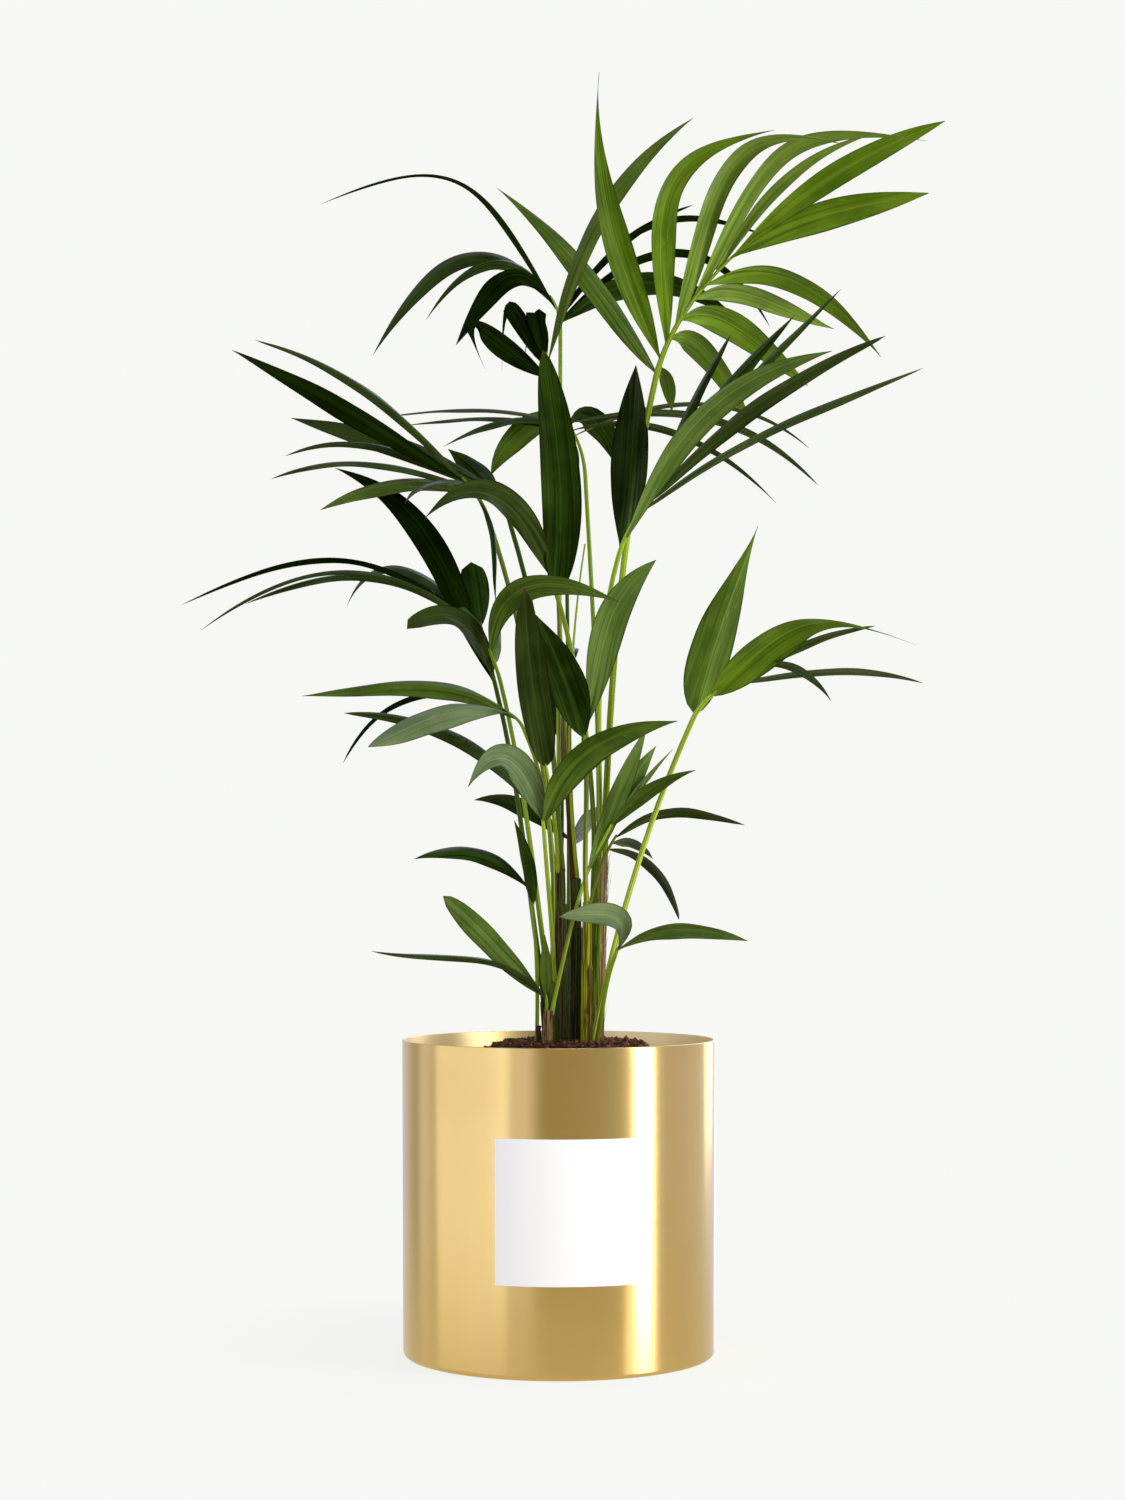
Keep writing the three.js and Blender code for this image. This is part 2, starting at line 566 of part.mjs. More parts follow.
function labelGeometry() {
  const { width, height, bottom, turn, thickness } = LABEL;
  const steps = 10;
  const half = width / (2 * potRadius(bottom + height / 2));
  const flatness = Math.cos(half / steps);
  const rings = Array.from({ length: steps + 1 }, (_, step) => {
    const angle = turn * RAD - Math.PI / 2 + THREE.MathUtils.lerp(-half, half, step / steps);
    const corner = (z, outward) => {
      const radius = (potRadius(z) + CLEARANCE) / flatness + outward;
      return new THREE.Vector3(radius * Math.cos(angle), radius * Math.sin(angle), z);
    };
    const top = bottom + height;
    return [corner(bottom, 0), corner(top, 0), corner(top, thickness), corner(bottom, thickness)];
  });
  return toGeometry(loft(rings));
}

// ---- The object --------------------------------------------------------------------------------

const group = new THREE.Group();
group.name = 'potted_kentia_palm';

function place(name, geometry, finish) {
  const mesh = new THREE.Mesh(geometry, finish);
  mesh.name = name;
  group.add(mesh);
}

place('pot', potGeometry(), MATERIALS.brass);
place('label', labelGeometry(), MATERIALS.paper);
place('soil', soilGeometry(), MATERIALS.soil);

for (const [name, stem] of Object.entries(STEMS)) {
  const solid = limb(stemCurve(stem), ...stem.radii, { sides: 10, steps: 2, level: ['foot', 'top'] });
  place(`stem_${name}`, toGeometry(solid), MATERIALS[stem.kind]);
}

for (const [name, frond] of Object.entries(FRONDS)) {
  const foot = footOf(frond.on, frond.radii[0]);
  const stalk = stalkCurve(foot, onElevation(frond.neck), frond.lean);
  const rib = ribCurve(stalk, onElevation(frond.end), frond.lean[2]);
  const petiole = limb(heldBack(stalk, 0, CLEARANCE / 2), ...frond.radii, { level: ['foot'] });
  place(`petiole_${name}`, toGeometry(petiole), MATERIALS.stalk);
  const ribLimb = limb(heldBack(rib, CLEARANCE / 2, 0), frond.radii[1], STALK.ribTip, { steps: STALK.ribSteps });
  const blades = frond.leaves.map((each) => leafBlade(rib, each));
  const finish = frond.bright ? MATERIALS.brightLeaf : MATERIALS.leaf;
  place(`frond_${name}`, fuse([ribLimb, ...blades]), finish);
}

const spearFoot = footOf(SPEAR.on, SPEAR.radii[0]);
const spearCurve = stalkCurve(spearFoot, onElevation(SPEAR.tip), SPEAR.lean);
place('spear', toGeometry(limb(spearCurve, ...SPEAR.radii, { level: ['foot'] })), MATERIALS.stalk);

const stubCurve = stemCurve({ foot: STUB.foot, top: STUB.foot, height: STUB.height });
place('stub', toGeometry(limb(stubCurve, ...STUB.radii, { steps: 1, level: ['foot', 'top'] })), MATERIALS.fibre);

export default group;
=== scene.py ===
"""Potted kentia palm: a clump of feather-leaved palms in a brushed brass pot with a square paper label.

The plant is worked out in millimetres, as on a maker's drawing, by the rule that its solids follow: the
fronds are set out on a front elevation in true perspective, where a point is (across from the pot's axis,
height, depth behind the axis). Every mesh is made in metres, with its place in its vertices.
"""

from __future__ import annotations

import logging
import math
from collections.abc import Callable, Iterator
from contextlib import contextmanager
from dataclasses import dataclass, field
from enum import Enum

import bpy
import numpy as np
from bpy.types import ID, Material, Mesh, Node, NodeSocket, NodeTree, Object
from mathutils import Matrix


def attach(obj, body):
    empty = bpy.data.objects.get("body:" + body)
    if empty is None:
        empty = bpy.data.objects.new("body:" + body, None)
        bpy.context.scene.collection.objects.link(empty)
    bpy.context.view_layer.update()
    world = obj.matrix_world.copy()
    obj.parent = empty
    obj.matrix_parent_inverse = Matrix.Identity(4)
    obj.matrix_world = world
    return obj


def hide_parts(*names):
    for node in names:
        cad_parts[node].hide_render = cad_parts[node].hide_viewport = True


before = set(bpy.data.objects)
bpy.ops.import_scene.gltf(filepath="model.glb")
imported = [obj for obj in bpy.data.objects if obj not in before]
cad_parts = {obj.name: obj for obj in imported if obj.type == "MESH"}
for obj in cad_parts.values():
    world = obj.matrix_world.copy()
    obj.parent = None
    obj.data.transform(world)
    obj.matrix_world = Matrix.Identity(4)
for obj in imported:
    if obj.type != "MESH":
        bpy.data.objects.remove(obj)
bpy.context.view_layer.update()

LOG = logging.getLogger("palm")
MM = 0.001
SLIGHT = 1e-5  # metres, less than any feature of the plant or the pot
BODY = "root"
SEED = 7
PATTERN_SHIFT = 10.0  # metres, so that no two stalks or leaflets show the same stretch of a pattern

Point = tuple[float, float, float]
Pair = tuple[float, float]
Colour = tuple[int, int, int]
Footing = tuple[str, float] | Pair


# ---- Tools ----


class Kind(Enum):
    """What is picked out of a mesh."""

    VERTICES = "VERT"
    EDGES = "EDGE"
    FACES = "FACE"


def linear(colour: Colour) -> tuple[float, float, float, float]:
    """Turns a screen colour into the linear colour that a shader takes.

    Args:
        colour: Red, green and blue from 0 to 255.

    Returns:
        Red, green, blue and alpha from 0 to 1.
    """
    channels = [c / 255 / 12.92 if c <= 10 else ((c / 255 + 0.055) / 1.055) ** 2.4 for c in colour]
    return (*channels, 1.0)


def shade(colour: Colour, share: float, lift: float = 0.0) -> Colour:
    """Makes a darker or a paler shade of a screen colour.

    Args:
        colour: The colour.
        share: How much of each channel is kept.
        lift: What is then added to each channel.

    Returns:
        The shade.
    """
    return tuple(min(255, round(c * share + lift)) for c in colour)


def travelled(line: np.ndarray) -> np.ndarray:
    """Gives how far along a line of points each of them lies."""
    return np.concatenate([[0], np.cumsum(np.linalg.norm(np.diff(line, axis=0), axis=1))])


def deselect() -> None:
    """Leaves edit mode and clears the selection."""
    if bpy.context.mode != "OBJECT":
        bpy.ops.object.mode_set(mode="OBJECT")
    bpy.ops.object.select_all(action="DESELECT")


def activate(piece: Object) -> None:
    """Makes one object the only selected and the active one.

    Args:
        piece: The object.
    """
    deselect()
    piece.select_set(True)
    bpy.context.view_layer.objects.active = piece


def begin(add: Callable[..., object], **sizes: object) -> Object:
    """Starts a piece from a primitive, with nothing else selected and its place in its mesh.

    Args:
        add: The operator that adds the primitive.
        sizes: The primitive's sizes and place.

    Returns:
        The new object.
    """
    deselect()
    add(**sizes)
    bpy.ops.object.transform_apply(location=True, rotation=True, scale=True)
    return bpy.context.object


@contextmanager
def editing() -> Iterator[None]:
    """Keeps the active object in edit mode for a block of lines."""
    bpy.ops.object.mode_set(mode="EDIT")
    yield
    bpy.ops.object.mode_set(mode="OBJECT")


def pick(kind: Kind, where: Callable[..., bool]) -> None:
    """Selects the vertices, edges or faces of the mesh in edit mode that pass a test.

    Args:
        kind: What is selected.
        where: The test: of a vertex's place, of the places of an edge's two ends, or of a face's middle
            and its normal.
    """
    bpy.ops.mesh.select_mode(type=kind.value)
    bpy.ops.mesh.select_all(action="DESELECT")
    bpy.ops.object.mode_set(mode="OBJECT")
    mesh = bpy.context.object.data
    if kind is Kind.VERTICES:
        for vertex in mesh.vertices:
            vertex.select = where(vertex.co)
    elif kind is Kind.EDGES:
        for edge in mesh.edges:
            edge.select = where(*(mesh.vertices[number].co for number in edge.vertices))
    else:
        for face in mesh.polygons:
            face.select = where(face.center, face.normal)
    bpy.ops.object.mode_set(mode="EDIT")


def pick_all() -> None:
    """Selects all of the mesh in edit mode."""
    bpy.ops.mesh.select_all(action="SELECT")


def pick_top() -> None:
    """Selects the faces that face up."""
    pick(Kind.FACES, lambda middle, normal: normal.z > 0.9)


def apply_modifier(piece: Object, kind: str, **settings: object) -> None:
    """Adds a modifier to a mesh and applies it.

    Args:
        piece: The mesh object.
        kind: The modifier's type, such as "SOLIDIFY".
        settings: The modifier's own settings.
    """
    activate(piece)
    modifier = piece.modifiers.new(kind.title(), kind)
    for name, value in settings.items():
        setattr(modifier, name, value)
    bpy.ops.object.modifier_apply(modifier=modifier.name)


def roughen(piece: Object, name: str, lump: float, depth: float, middle: float = 0.5,
            group: str = "") -> None:
    """Pushes a mesh's surface in and out by a cloud texture.

    Args:
        piece: The mesh object.
        name: The texture's name.
        lump: The size of its lumps in metres.
        depth: How far it pushes in metres.
        middle: The texture's value that leaves the surface where it is.
        group: The vertex group that it keeps to, if any.
    """
    texture = bpy.data.textures.new(name, "CLOUDS")
    texture.noise_scale = lump
    texture.noise_depth = 3
    apply_modifier(piece, "DISPLACE", texture=texture, texture_coords="LOCAL", vertex_group=group,
                   strength=depth, mid_level=middle)


def settle(piece: Object, name: str, materials: list[Material], smooth_below: float = 35.0) -> None:
    """Names a piece, moves its place into its mesh, smooths its shading and dresses it.

    Args:
        piece: The mesh object.
        name: Its new name.
        materials: Its materials.
        smooth_below: Edges that bend less than this many degrees are shaded smooth.
    """
    activate(piece)
    bpy.ops.object.transform_apply(location=True, rotation=True, scale=True)
    bpy.ops.object.shade_smooth_by_angle(angle=math.radians(smooth_below))
    piece.name = piece.data.name = name
    piece.data.materials.clear()
    for material in materials:
        piece.data.materials.append(material)


def hand_over(piece: Object, slot: str, *nodes: str) -> None:
    """Ties a finished piece to the plant's body, hides the solids that it stands for and logs its face count.

    Args:
        piece: The finished object.
        slot: The record's material slot, which is not used.
        nodes: The solids that the piece replaces.
    """
    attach(piece, BODY)
    if nodes:
        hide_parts(*nodes)
    LOG.info("%s: %d faces", piece.name, len(piece.data.polygons))


def link(name: str, data: ID) -> Object:
    """Puts a mesh, a light or a camera into the scene.

    Args:
        name: The object's name.
        data: What it shows.

    Returns:
        The new object.
    """
    piece = bpy.data.objects.new(name, data)
    bpy.context.scene.collection.objects.link(piece)
    return piece


def carry(mesh: Mesh, label: str, vectors: np.ndarray) -> None:
    """Stores a vector for each vertex, for the mesh's finish to read.

    Args:
        mesh: The mesh.
        label: The vectors' name.
        vectors: One row for each vertex.
    """
    store = mesh.attributes.new(label, "FLOAT_VECTOR", "POINT")
    store.data.foreach_set("vector", vectors.astype(np.float32).ravel())


class Nodes:
    """A tree of shader nodes, added and joined in a line or two each."""

    def __init__(self, tree: NodeTree) -> None:
        """Takes the tree that the nodes go into."""
        self.tree = tree

    def add(self, kind: str, inputs: dict | None = None, **settings: object) -> Node:
        """Adds a node.

        Args:
            kind: The node's type without "ShaderNode".
            inputs: Values or output sockets, by the input's name or number.
            settings: The node's own settings.

        Returns:
            The new node.
        """
        node = self.tree.nodes.new("ShaderNode" + kind)
        for name, value in settings.items():
            setattr(node, name, value)
        self.feed(node, inputs or {})
        return node

    def feed(self, node: Node, inputs: dict) -> None:
        """Sets or links a node's inputs.

        Args:
            node: The node.
            inputs: Values or output sockets, by the input's name or number.
        """
        for key, value in inputs.items():
            socket = node.inputs[key]
            if isinstance(value, NodeSocket):
                self.tree.links.new(value, socket)
            else:
                socket.default_value = value

    def ramp(self, value: NodeSocket, start: float, end: float, low: float = 0.0,
             high: float = 1.0) -> NodeSocket:
        """Adds a smooth step.

        Args:
            value: What is measured.
            start: Where the step starts.
            end: Where it ends.
            low: The result before the step.
            high: The result after it.

        Returns:
            The step's value.
        """
        limits = {"Value": value, "From Min": start, "From Max": end, "To Min": low, "To Max": high}
        return self.add("MapRange", limits, interpolation_type="SMOOTHSTEP").outputs[0]

    def math(self, operation: str, *values: object) -> NodeSocket:
        """Adds a calculation with one to three values.

        Args:
            operation: Its name, such as "MULTIPLY".
            values: Values or sockets.

        Returns:
            The result.
        """
        return self.add("Math", dict(enumerate(values)), operation=operation).outputs[0]

    def mix(self, amount: object, first: object, second: object) -> NodeSocket:
        """Adds a blend of two colours.

        Args:
            amount: How much of the second there is.
            first: A colour or socket.
            second: A colour or socket.

        Returns:
            The blended colour.
        """
        return self.add("Mix", {0: amount, 6: first, 7: second}, data_type="RGBA").outputs[2]

    def split(self, vector: NodeSocket) -> list[NodeSocket]:
        """Splits a vector into its three parts."""
        return list(self.add("SeparateXYZ", {0: vector}).outputs)


class Graph(Nodes):
    """The nodes of one material."""

    def __init__(self, name: str) -> None:
        """Starts a material.

        Args:
            name: The material's name.
        """
        self.material = bpy.data.materials.new(name)
        self.material.use_nodes = True
        super().__init__(self.material.node_tree)
        self.shader = self.tree.nodes["Principled BSDF"]

    def attribute(self, name: str) -> NodeSocket:
        """Reads a vector that the mesh carries."""
        return self.add("Attribute", attribute_name=name).outputs["Vector"]

    def coordinates(self) -> NodeSocket:
        """Reads the place on the object in metres."""
        return self.add("TexCoord").outputs["Object"]

    def noise(self, vector: NodeSocket, scale: Point, detail: float = 2.0) -> NodeSocket:
        """Adds a noise that may be stretched.

        Args:
            vector: The place to read it at.
            scale: How many lumps there are to a metre along each axis.
            detail: How many finer layers it has.

        Returns:
            The noise's value, about 0.3 to 0.7.
        """
        place = self.add("Mapping", {"Vector": vector, "Scale": scale})
        texture = self.add("TexNoise", {"Vector": place.outputs[0], "Scale": 1.0, "Detail": detail})
        return texture.outputs["Fac"]

    def blot(self, colour: object, amount: object, over: Colour) -> NodeSocket:
        """Lays a screen colour over what is there.

        Args:
            colour: The colour or socket below.
            amount: How much of the new colour shows.
            over: The new colour.

        Returns:
            The blended colour.
        """
        return self.mix(amount, colour, linear(over))

    def bump(self, height: NodeSocket, depth: float, strength: float) -> None:
        """Gives the surface a relief.

        Args:
            height: The relief, 0 to 1.
            depth: How deep it is in metres.
            strength: How much of it shows.
        """
        node = self.add("Bump", {"Height": height, "Distance": depth, "Strength": strength})
        self.feed(self.shader, {"Normal": node.outputs[0]})


# ---- Finishes ----


WARM_GLOSS = (1.0, 1.0, 0.55, 1.0)  # the tint of the light that living and dried tissue throws back


@dataclass(frozen=True)
class BrassFinish:
    """Satin brass, brushed round the pot, so that reflections are drawn out upwards."""

    name: str = "brushed_brass"
    colour: Colour = (227, 194, 122)
    tarnish: Colour = (223, 189, 115)
    roughness: float = 0.23
    brushing: float = 0.78
    lacquer: float = 0.25
    clouds: Point = (7, 7, 7)
    lines: Point = (40, 40, 2600)

    def material(self) -> Material:
        """Builds the material.

        Returns:
            The material.
        """
        graph = Graph(self.name)
        place = graph.coordinates()
        clouds = graph.noise(place, self.clouds, 3)
        lines = graph.noise(place, self.lines, 2)
        graph.feed(graph.shader, {
            "Base Color": graph.blot(linear(self.colour), graph.ramp(clouds, 0.42, 0.72), self.tarnish),
            "Metallic": 1.0,
            "Roughness": graph.ramp(lines, 0.2, 0.8, self.roughness - 0.02, self.roughness + 0.02),
            "Anisotropic": self.brushing,
            "Anisotropic Rotation": 0.25,
            "Tangent": graph.add("Tangent", direction_type="RADIAL", axis="Z").outputs[0],
            "Coat Weight": self.lacquer,
            "Coat Roughness": 0.3,
        })
        graph.bump(lines, 0.00001, 0.04)
        return graph.material


@dataclass(frozen=True)
class PaperFinish:
    """Smooth white label stock with a faint tooth."""

    name: str = "label_stock"
    colour: Colour = (255, 255, 255)
    tooth: Point = (1400, 1400, 1400)

    def material(self) -> Material:
        """Builds the material.

        Returns:
            The material.
        """
        graph = Graph(self.name)
        graph.feed(graph.shader, {
            "Base Color": linear(self.colour),
            "Roughness": 0.55,
            "Specular IOR Level": 0.3,
        })
        graph.bump(graph.noise(graph.coordinates(), self.tooth, 3), 0.0001, 0.15)
        return graph.material


@dataclass(frozen=True)
class CompostFinish:
    """Damp bark and peat."""

    name: str
    colour: Colour
    dark: Colour
    roughness: float = 0.9
    lumps: Point = (320, 320, 320)

    def material(self) -> Material:
        """Builds the material.

        Returns:
            The material.
        """
        graph = Graph(self.name)
        lumps = graph.noise(graph.coordinates(), self.lumps, 5)
        graph.feed(graph.shader, {
            "Base Color": graph.blot(linear(self.dark), graph.ramp(lumps, 0.35, 0.65), self.colour),
            "Roughness": graph.ramp(lumps, 0.3, 0.7, self.roughness - 0.15, self.roughness),
            "Specular IOR Level": 0.3,
        })
        graph.bump(lumps, 0.0015, 0.8)
        return graph.material


@dataclass(frozen=True)
class LeafFinish:
    """One tone of leaflet, with its parallel veins, folded midrib, dark margin, dry tip and a painted sheen:
    pale streaks along its broad veins near its root.

    The mesh carries "place" (across -1 to 1, along 0 to 1, chance) and "grain" (the same in metres).
    """

    name: str
    colour: Colour
    deep: Colour
    roughness: float = 0.4
    sheen: float = 0.5
    # how strongly the painted sheen streaks show
    painted_sheen: float = 0.5
    tip: Colour = (74, 58, 34)
    fine_veins: Point = (760, 6, 1)
    broad_veins: Point = (170, 5, 1)
    flecks: Point = (420, 70, 1)
    patches: Point = (22, 22, 22)

    def material(self) -> Material:
        """Builds the material.

        Returns:
            The material.
        """
        graph = Graph("leaf_" + self.name)
        grain = graph.attribute("grain")
        across, along, _ = graph.split(graph.attribute("place"))
        off_centre = graph.math("ABSOLUTE", across)
        fine = graph.noise(grain, self.fine_veins, 2)
        broad = graph.noise(grain, self.broad_veins, 1)
        flecks = graph.noise(grain, self.flecks, 2)
        patches = graph.noise(graph.coordinates(), self.patches, 2)
        rootward = graph.ramp(along, 0.05, 0.6, 1.0, 0.3)
        # painted sheen: pale streaks along the broad veins, fading towards the tip
        sheen_streaks = graph.math("MULTIPLY", graph.ramp(broad, 0.36, 0.66), rootward)
        ragged = graph.math("ADD", along, graph.math("MULTIPLY", graph.math("SUBTRACT", patches, 0.5), 0.1))
        pale = shade(self.colour, 1.22, 18)
        colour = linear(self.colour)
        for amount, over in (
            (graph.ramp(patches, 0.35, 0.7, 0.0, 0.75), self.deep),
            (graph.math("MULTIPLY", sheen_streaks, self.painted_sheen), pale),
            (graph.ramp(fine, 0.46, 0.68, 0.0, 0.75), self.deep),
            (graph.ramp(off_centre, 0.0, 0.07, 0.45, 0.0), pale),
            (graph.ramp(flecks, 0.66, 0.72, 0.0, 0.3), pale),
            (graph.ramp(off_centre, 0.86, 1.0, 0.0, 0.7), shade(self.deep, 0.45)),
            (graph.ramp(ragged, 0.97, 0.995, 0.0, 0.85), self.tip),
        ):
            colour = graph.blot(colour, amount, over)
        graph.feed(graph.shader, {
            "Base Color": colour,
            "Roughness": graph.ramp(fine, 0.3, 0.7, self.roughness - 0.1, self.roughness + 0.1),
            "Specular IOR Level": self.sheen,
            "Specular Tint": WARM_GLOSS,
        })
        relief = graph.math("ADD", graph.math("MULTIPLY", fine, 0.4), graph.math("MULTIPLY", broad, rootward))
        graph.bump(relief, 0.0006, 0.45)
        return graph.material


@dataclass(frozen=True)
class StalkFinish:
    """A grooved petiole: fine dark stripes along it, partly its own striping and partly painted shade in its
    grooves, its foot one colour and its upper part another.

    The mesh carries "place" (around, along 0 to 1, chance) and "grain" (the section's two directions and
    the distance along in metres).
    """

    name: str
    foot: Colour
    top: Colour
    roughness: float = 0.38
    scurf_colour: Colour = (92, 66, 34)
    stripes_and_groove_shade: Point = (3.2, 3.2, 6)
    scurf: Point = (2.2, 2.2, 160)

    def material(self) -> Material:
        """Builds the material.

        Returns:
            The material.
        """
        graph = Graph("stalk_" + self.name)
        grain = graph.attribute("grain")
        _, along, _ = graph.split(graph.attribute("place"))
        stripes_and_groove_shade = graph.noise(grain, self.stripes_and_groove_shade, 2)
        scurf = graph.noise(grain, self.scurf, 4)
        scurfy = graph.math("MULTIPLY", graph.ramp(scurf, 0.6, 0.7), graph.ramp(along, 0.0, 0.5, 0.7, 0.15))
        colour = graph.blot(linear(self.foot), graph.ramp(along, 0.05, 0.75), self.top)
        # the dark stripes: partly the stalk's own striping, partly painted shade in its grooves
        colour = graph.blot(colour, graph.ramp(stripes_and_groove_shade, 0.42, 0.66, 0.0, 0.8), shade(self.foot, 0.42))
        graph.feed(graph.shader, {
            "Base Color": graph.blot(colour, scurfy, self.scurf_colour),
            "Roughness": graph.ramp(scurf, 0.3, 0.7, self.roughness - 0.05, self.roughness + 0.12),
            "Specular IOR Level": 0.25,
            "Specular Tint": WARM_GLOSS,
        })
        graph.bump(stripes_and_groove_shade, 0.0004, 0.4)
        return graph.material


@dataclass(frozen=True)
class CaneFinish:
    """A stem wrapped in leaf sheaths, green where they are fresh and fibrous brown where they have dried.

    `dry_side` is the direction of the dried side in degrees (0 right, 90 back), `dry` is how much of the
    stem has dried, `middle` is the stem's axis, and `soil` and `wet` are the heights between which the
    foot's extra dryness ends, in metres.
    """

    name: str
    fresh: Colour
    dried: Colour
    dry: float
    dry_side: float
    middle: Pair
    radius: float
    soil: float = 0.306
    wet: float = 0.386
    fibres: Point = (900, 900, 16)
    bands: Point = (150, 150, 30)

    def dryness(self, graph: Graph, place: NodeSocket) -> NodeSocket:
        """Works out where the stem has dried: on its dry side, farther round at its foot, in ragged bands.

        Args:
            graph: The material's nodes.
            place: The place on the stem.

        Returns:
            0 where it is fresh, 1 where it has dried.
        """
        turn = math.radians(self.dry_side)
        bands = graph.noise(place, self.bands, 3)
        centred = graph.add("Mapping", {"Vector": place, "Location": (-self.middle[0], -self.middle[1], 0)})
        side = graph.add("VectorMath", {0: centred.outputs[0], 1: (math.cos(turn), math.sin(turn), 0)},
                         operation="DOT_PRODUCT")
        facing = graph.math("DIVIDE", side.outputs["Value"], self.radius)
        edge = graph.math("ADD", facing, graph.math("MULTIPLY", graph.math("SUBTRACT", bands, 0.5), 3.2))
        edge = graph.math("ADD", edge, graph.ramp(graph.split(place)[2], self.soil, self.wet, 0.5, 0.0))
        limit = 1.0 - 2.0 * self.dry
        return graph.ramp(edge, limit - 0.12, limit + 0.12)

    def material(self) -> Material:
        """Builds the material.

        Returns:
            The material.
        """
        graph = Graph("cane_" + self.name)
        place = graph.coordinates()
        fibres = graph.noise(place, self.fibres, 3)
        stripe = graph.ramp(fibres, 0.4, 0.62)
        dryness = self.dryness(graph, place)
        fresh = graph.blot(linear(shade(self.fresh, 0.55)), stripe, self.fresh)
        brown = graph.blot(linear(shade(self.dried, 0.4)), stripe, self.dried)
        graph.feed(graph.shader, {
            "Base Color": graph.mix(dryness, fresh, brown),
            "Roughness": graph.ramp(dryness, 0.0, 1.0, 0.42, 0.85),
            "Specular IOR Level": 0.08,
            "Specular Tint": WARM_GLOSS,
        })
        graph.bump(fibres, 0.0008, 0.7)
        return graph.material


@dataclass(frozen=True)
class FibreFinish:
    """Dry sheath fibre and dead stalk."""

    name: str
    colour: Colour
    dark: Colour
    strands: Point = (700, 700, 22)

    def material(self) -> Material:
        """Builds the material.

        Returns:
            The material.
        """
        graph = Graph(self.name)
        strands = graph.noise(graph.coordinates(), self.strands, 3)
        graph.feed(graph.shader, {
            "Base Color": graph.blot(linear(self.dark), graph.ramp(strands, 0.38, 0.64), self.colour),
            "Roughness": 0.85,
            "Specular IOR Level": 0.25,
        })
        graph.bump(strands, 0.0006, 0.6)
        return graph.material


class Shape(Enum):
    """The outlines of the leaflets: where along it one is widest, and how fast it narrows from there."""

    PLAIN = (0.42, 1.1)
    WIDE_FOOT = (0.3, 1.5)
    TAILED = (0.3, 1.9)
    TAPERED = (0.36, 2.0)
    MIDDLE = (0.5, 1.0)
    FULL = (0.42, 0.6)
    OUTWARD = (0.56, 0.9)
    STRAP = (0.48, 0.7)
    OBLONG = (0.6, 0.55)
    BLUNT = (0.61, 0.35)
    FLAT_TOP = (0.7, 0.3)
    LONG_TAIL = (0.25, 2.4)


class Tone(Enum):
    """The tones of the leaflets. They were matched to how bright the leaflets look, so besides the leaves' own
    greens they carry painted light and shade: BRIGHT, MATT and PALE stand for lit leaflets, NIGHT for leaflets
    in shade.
    """

    BRIGHT = LeafFinish("bright", (98, 128, 22), (62, 94, 8), 0.42, 0.1)
    MATT = LeafFinish("matt_bright", (112, 140, 50), (78, 106, 28), 0.46, 0.2)
    LUSH = LeafFinish("lush", (86, 114, 20), (48, 76, 6), 0.36, 0.08)
    LEAFY = LeafFinish("leafy", (84, 110, 32), (48, 72, 12), 0.38, 0.1)
    MID = LeafFinish("mid", (84, 106, 36), (50, 72, 16), 0.4, 0.1)
    PLEATED = LeafFinish("pleated", (34, 50, 14), (5, 14, 1), 0.34, 0.04, painted_sheen=1.0)
    DEEP = LeafFinish("deep", (38, 60, 10), (10, 22, 1), 0.34, 0.02)
    NIGHT = LeafFinish("night", (18, 34, 2), (7, 15, 0), 0.4, 0.0)
    OLIVE = LeafFinish("olive", (48, 64, 20), (24, 38, 7), 0.38, 0.05)
    SATIN = LeafFinish("satin", (94, 120, 52), (62, 90, 28), 0.38, 0.15)
    PALE = LeafFinish("pale", (100, 120, 78), (76, 96, 54), 0.44, 0.25)
    GREY = LeafFinish("grey_green", (60, 78, 38), (34, 50, 20), 0.44, 0.06)


class Stalk(Enum):
    """The tones of the petioles. They were matched to how bright the stalks look, so besides the stalks' own
    colours they carry painted light and shade; SUNNY is a sunlit stalk's colour.
    """

    FRESH = StalkFinish("fresh", (122, 148, 20), (132, 162, 26))
    LIGHT = StalkFinish("light", (156, 178, 34), (172, 200, 50))
    DEEP = StalkFinish("deep", (96, 122, 22), (56, 80, 12))
    OLIVE = StalkFinish("olive", (134, 146, 32), (106, 126, 22))
    REDDISH = StalkFinish("reddish", (146, 122, 44), (120, 120, 34))
    SUNNY = StalkFinish("sunny", (200, 214, 74), (176, 202, 56))
    RUSTY = StalkFinish("rusty", (112, 72, 36), (140, 164, 26))
    BROWN = StalkFinish("brown", (122, 84, 44), (96, 82, 30))


# ---- The plant's drawing ----


EYE = np.array([3.5, -2625.0, 461.0])  # where the elevation is seen from
SHEET_DISTANCE = 2620.0  # from the eye to the elevation's sheet
SHEET_LEAN = math.radians(3.0)  # how far the sheet leans back
SHEET_AXIS_HEIGHT = 601.0  # the height on the sheet that the eye looks at
DEPTH = np.array([0.0, 1.0, 0.0])
UP = np.array([0.0, 0.0, 1.0])
CLEARANCE = 0.3  # between a stalk's foot and the stem that it stands on
SOIL_TOP = 306.3
RIB_TIP = 1.4  # the radius of a rib's end
BEND_REACH = 0.37  # how far along a leaflet its bends reach


def on_elevation(point: Point) -> np.ndarray:
    """Turns a point of the front elevation into a point in space.

    Args:
        point: Across, height and depth in millimetres.

    Returns:
        The point in millimetres.
    """
    across, height, depth = point
    up = height - SHEET_AXIS_HEIGHT
    ray = np.array([
        across - EYE[0],
        SHEET_DISTANCE * math.cos(SHEET_LEAN) - up * math.sin(SHEET_LEAN),
        SHEET_DISTANCE * math.sin(SHEET_LEAN) + up * math.cos(SHEET_LEAN),
    ])
    return EYE + ray * ((depth - EYE[1]) / ray[1])


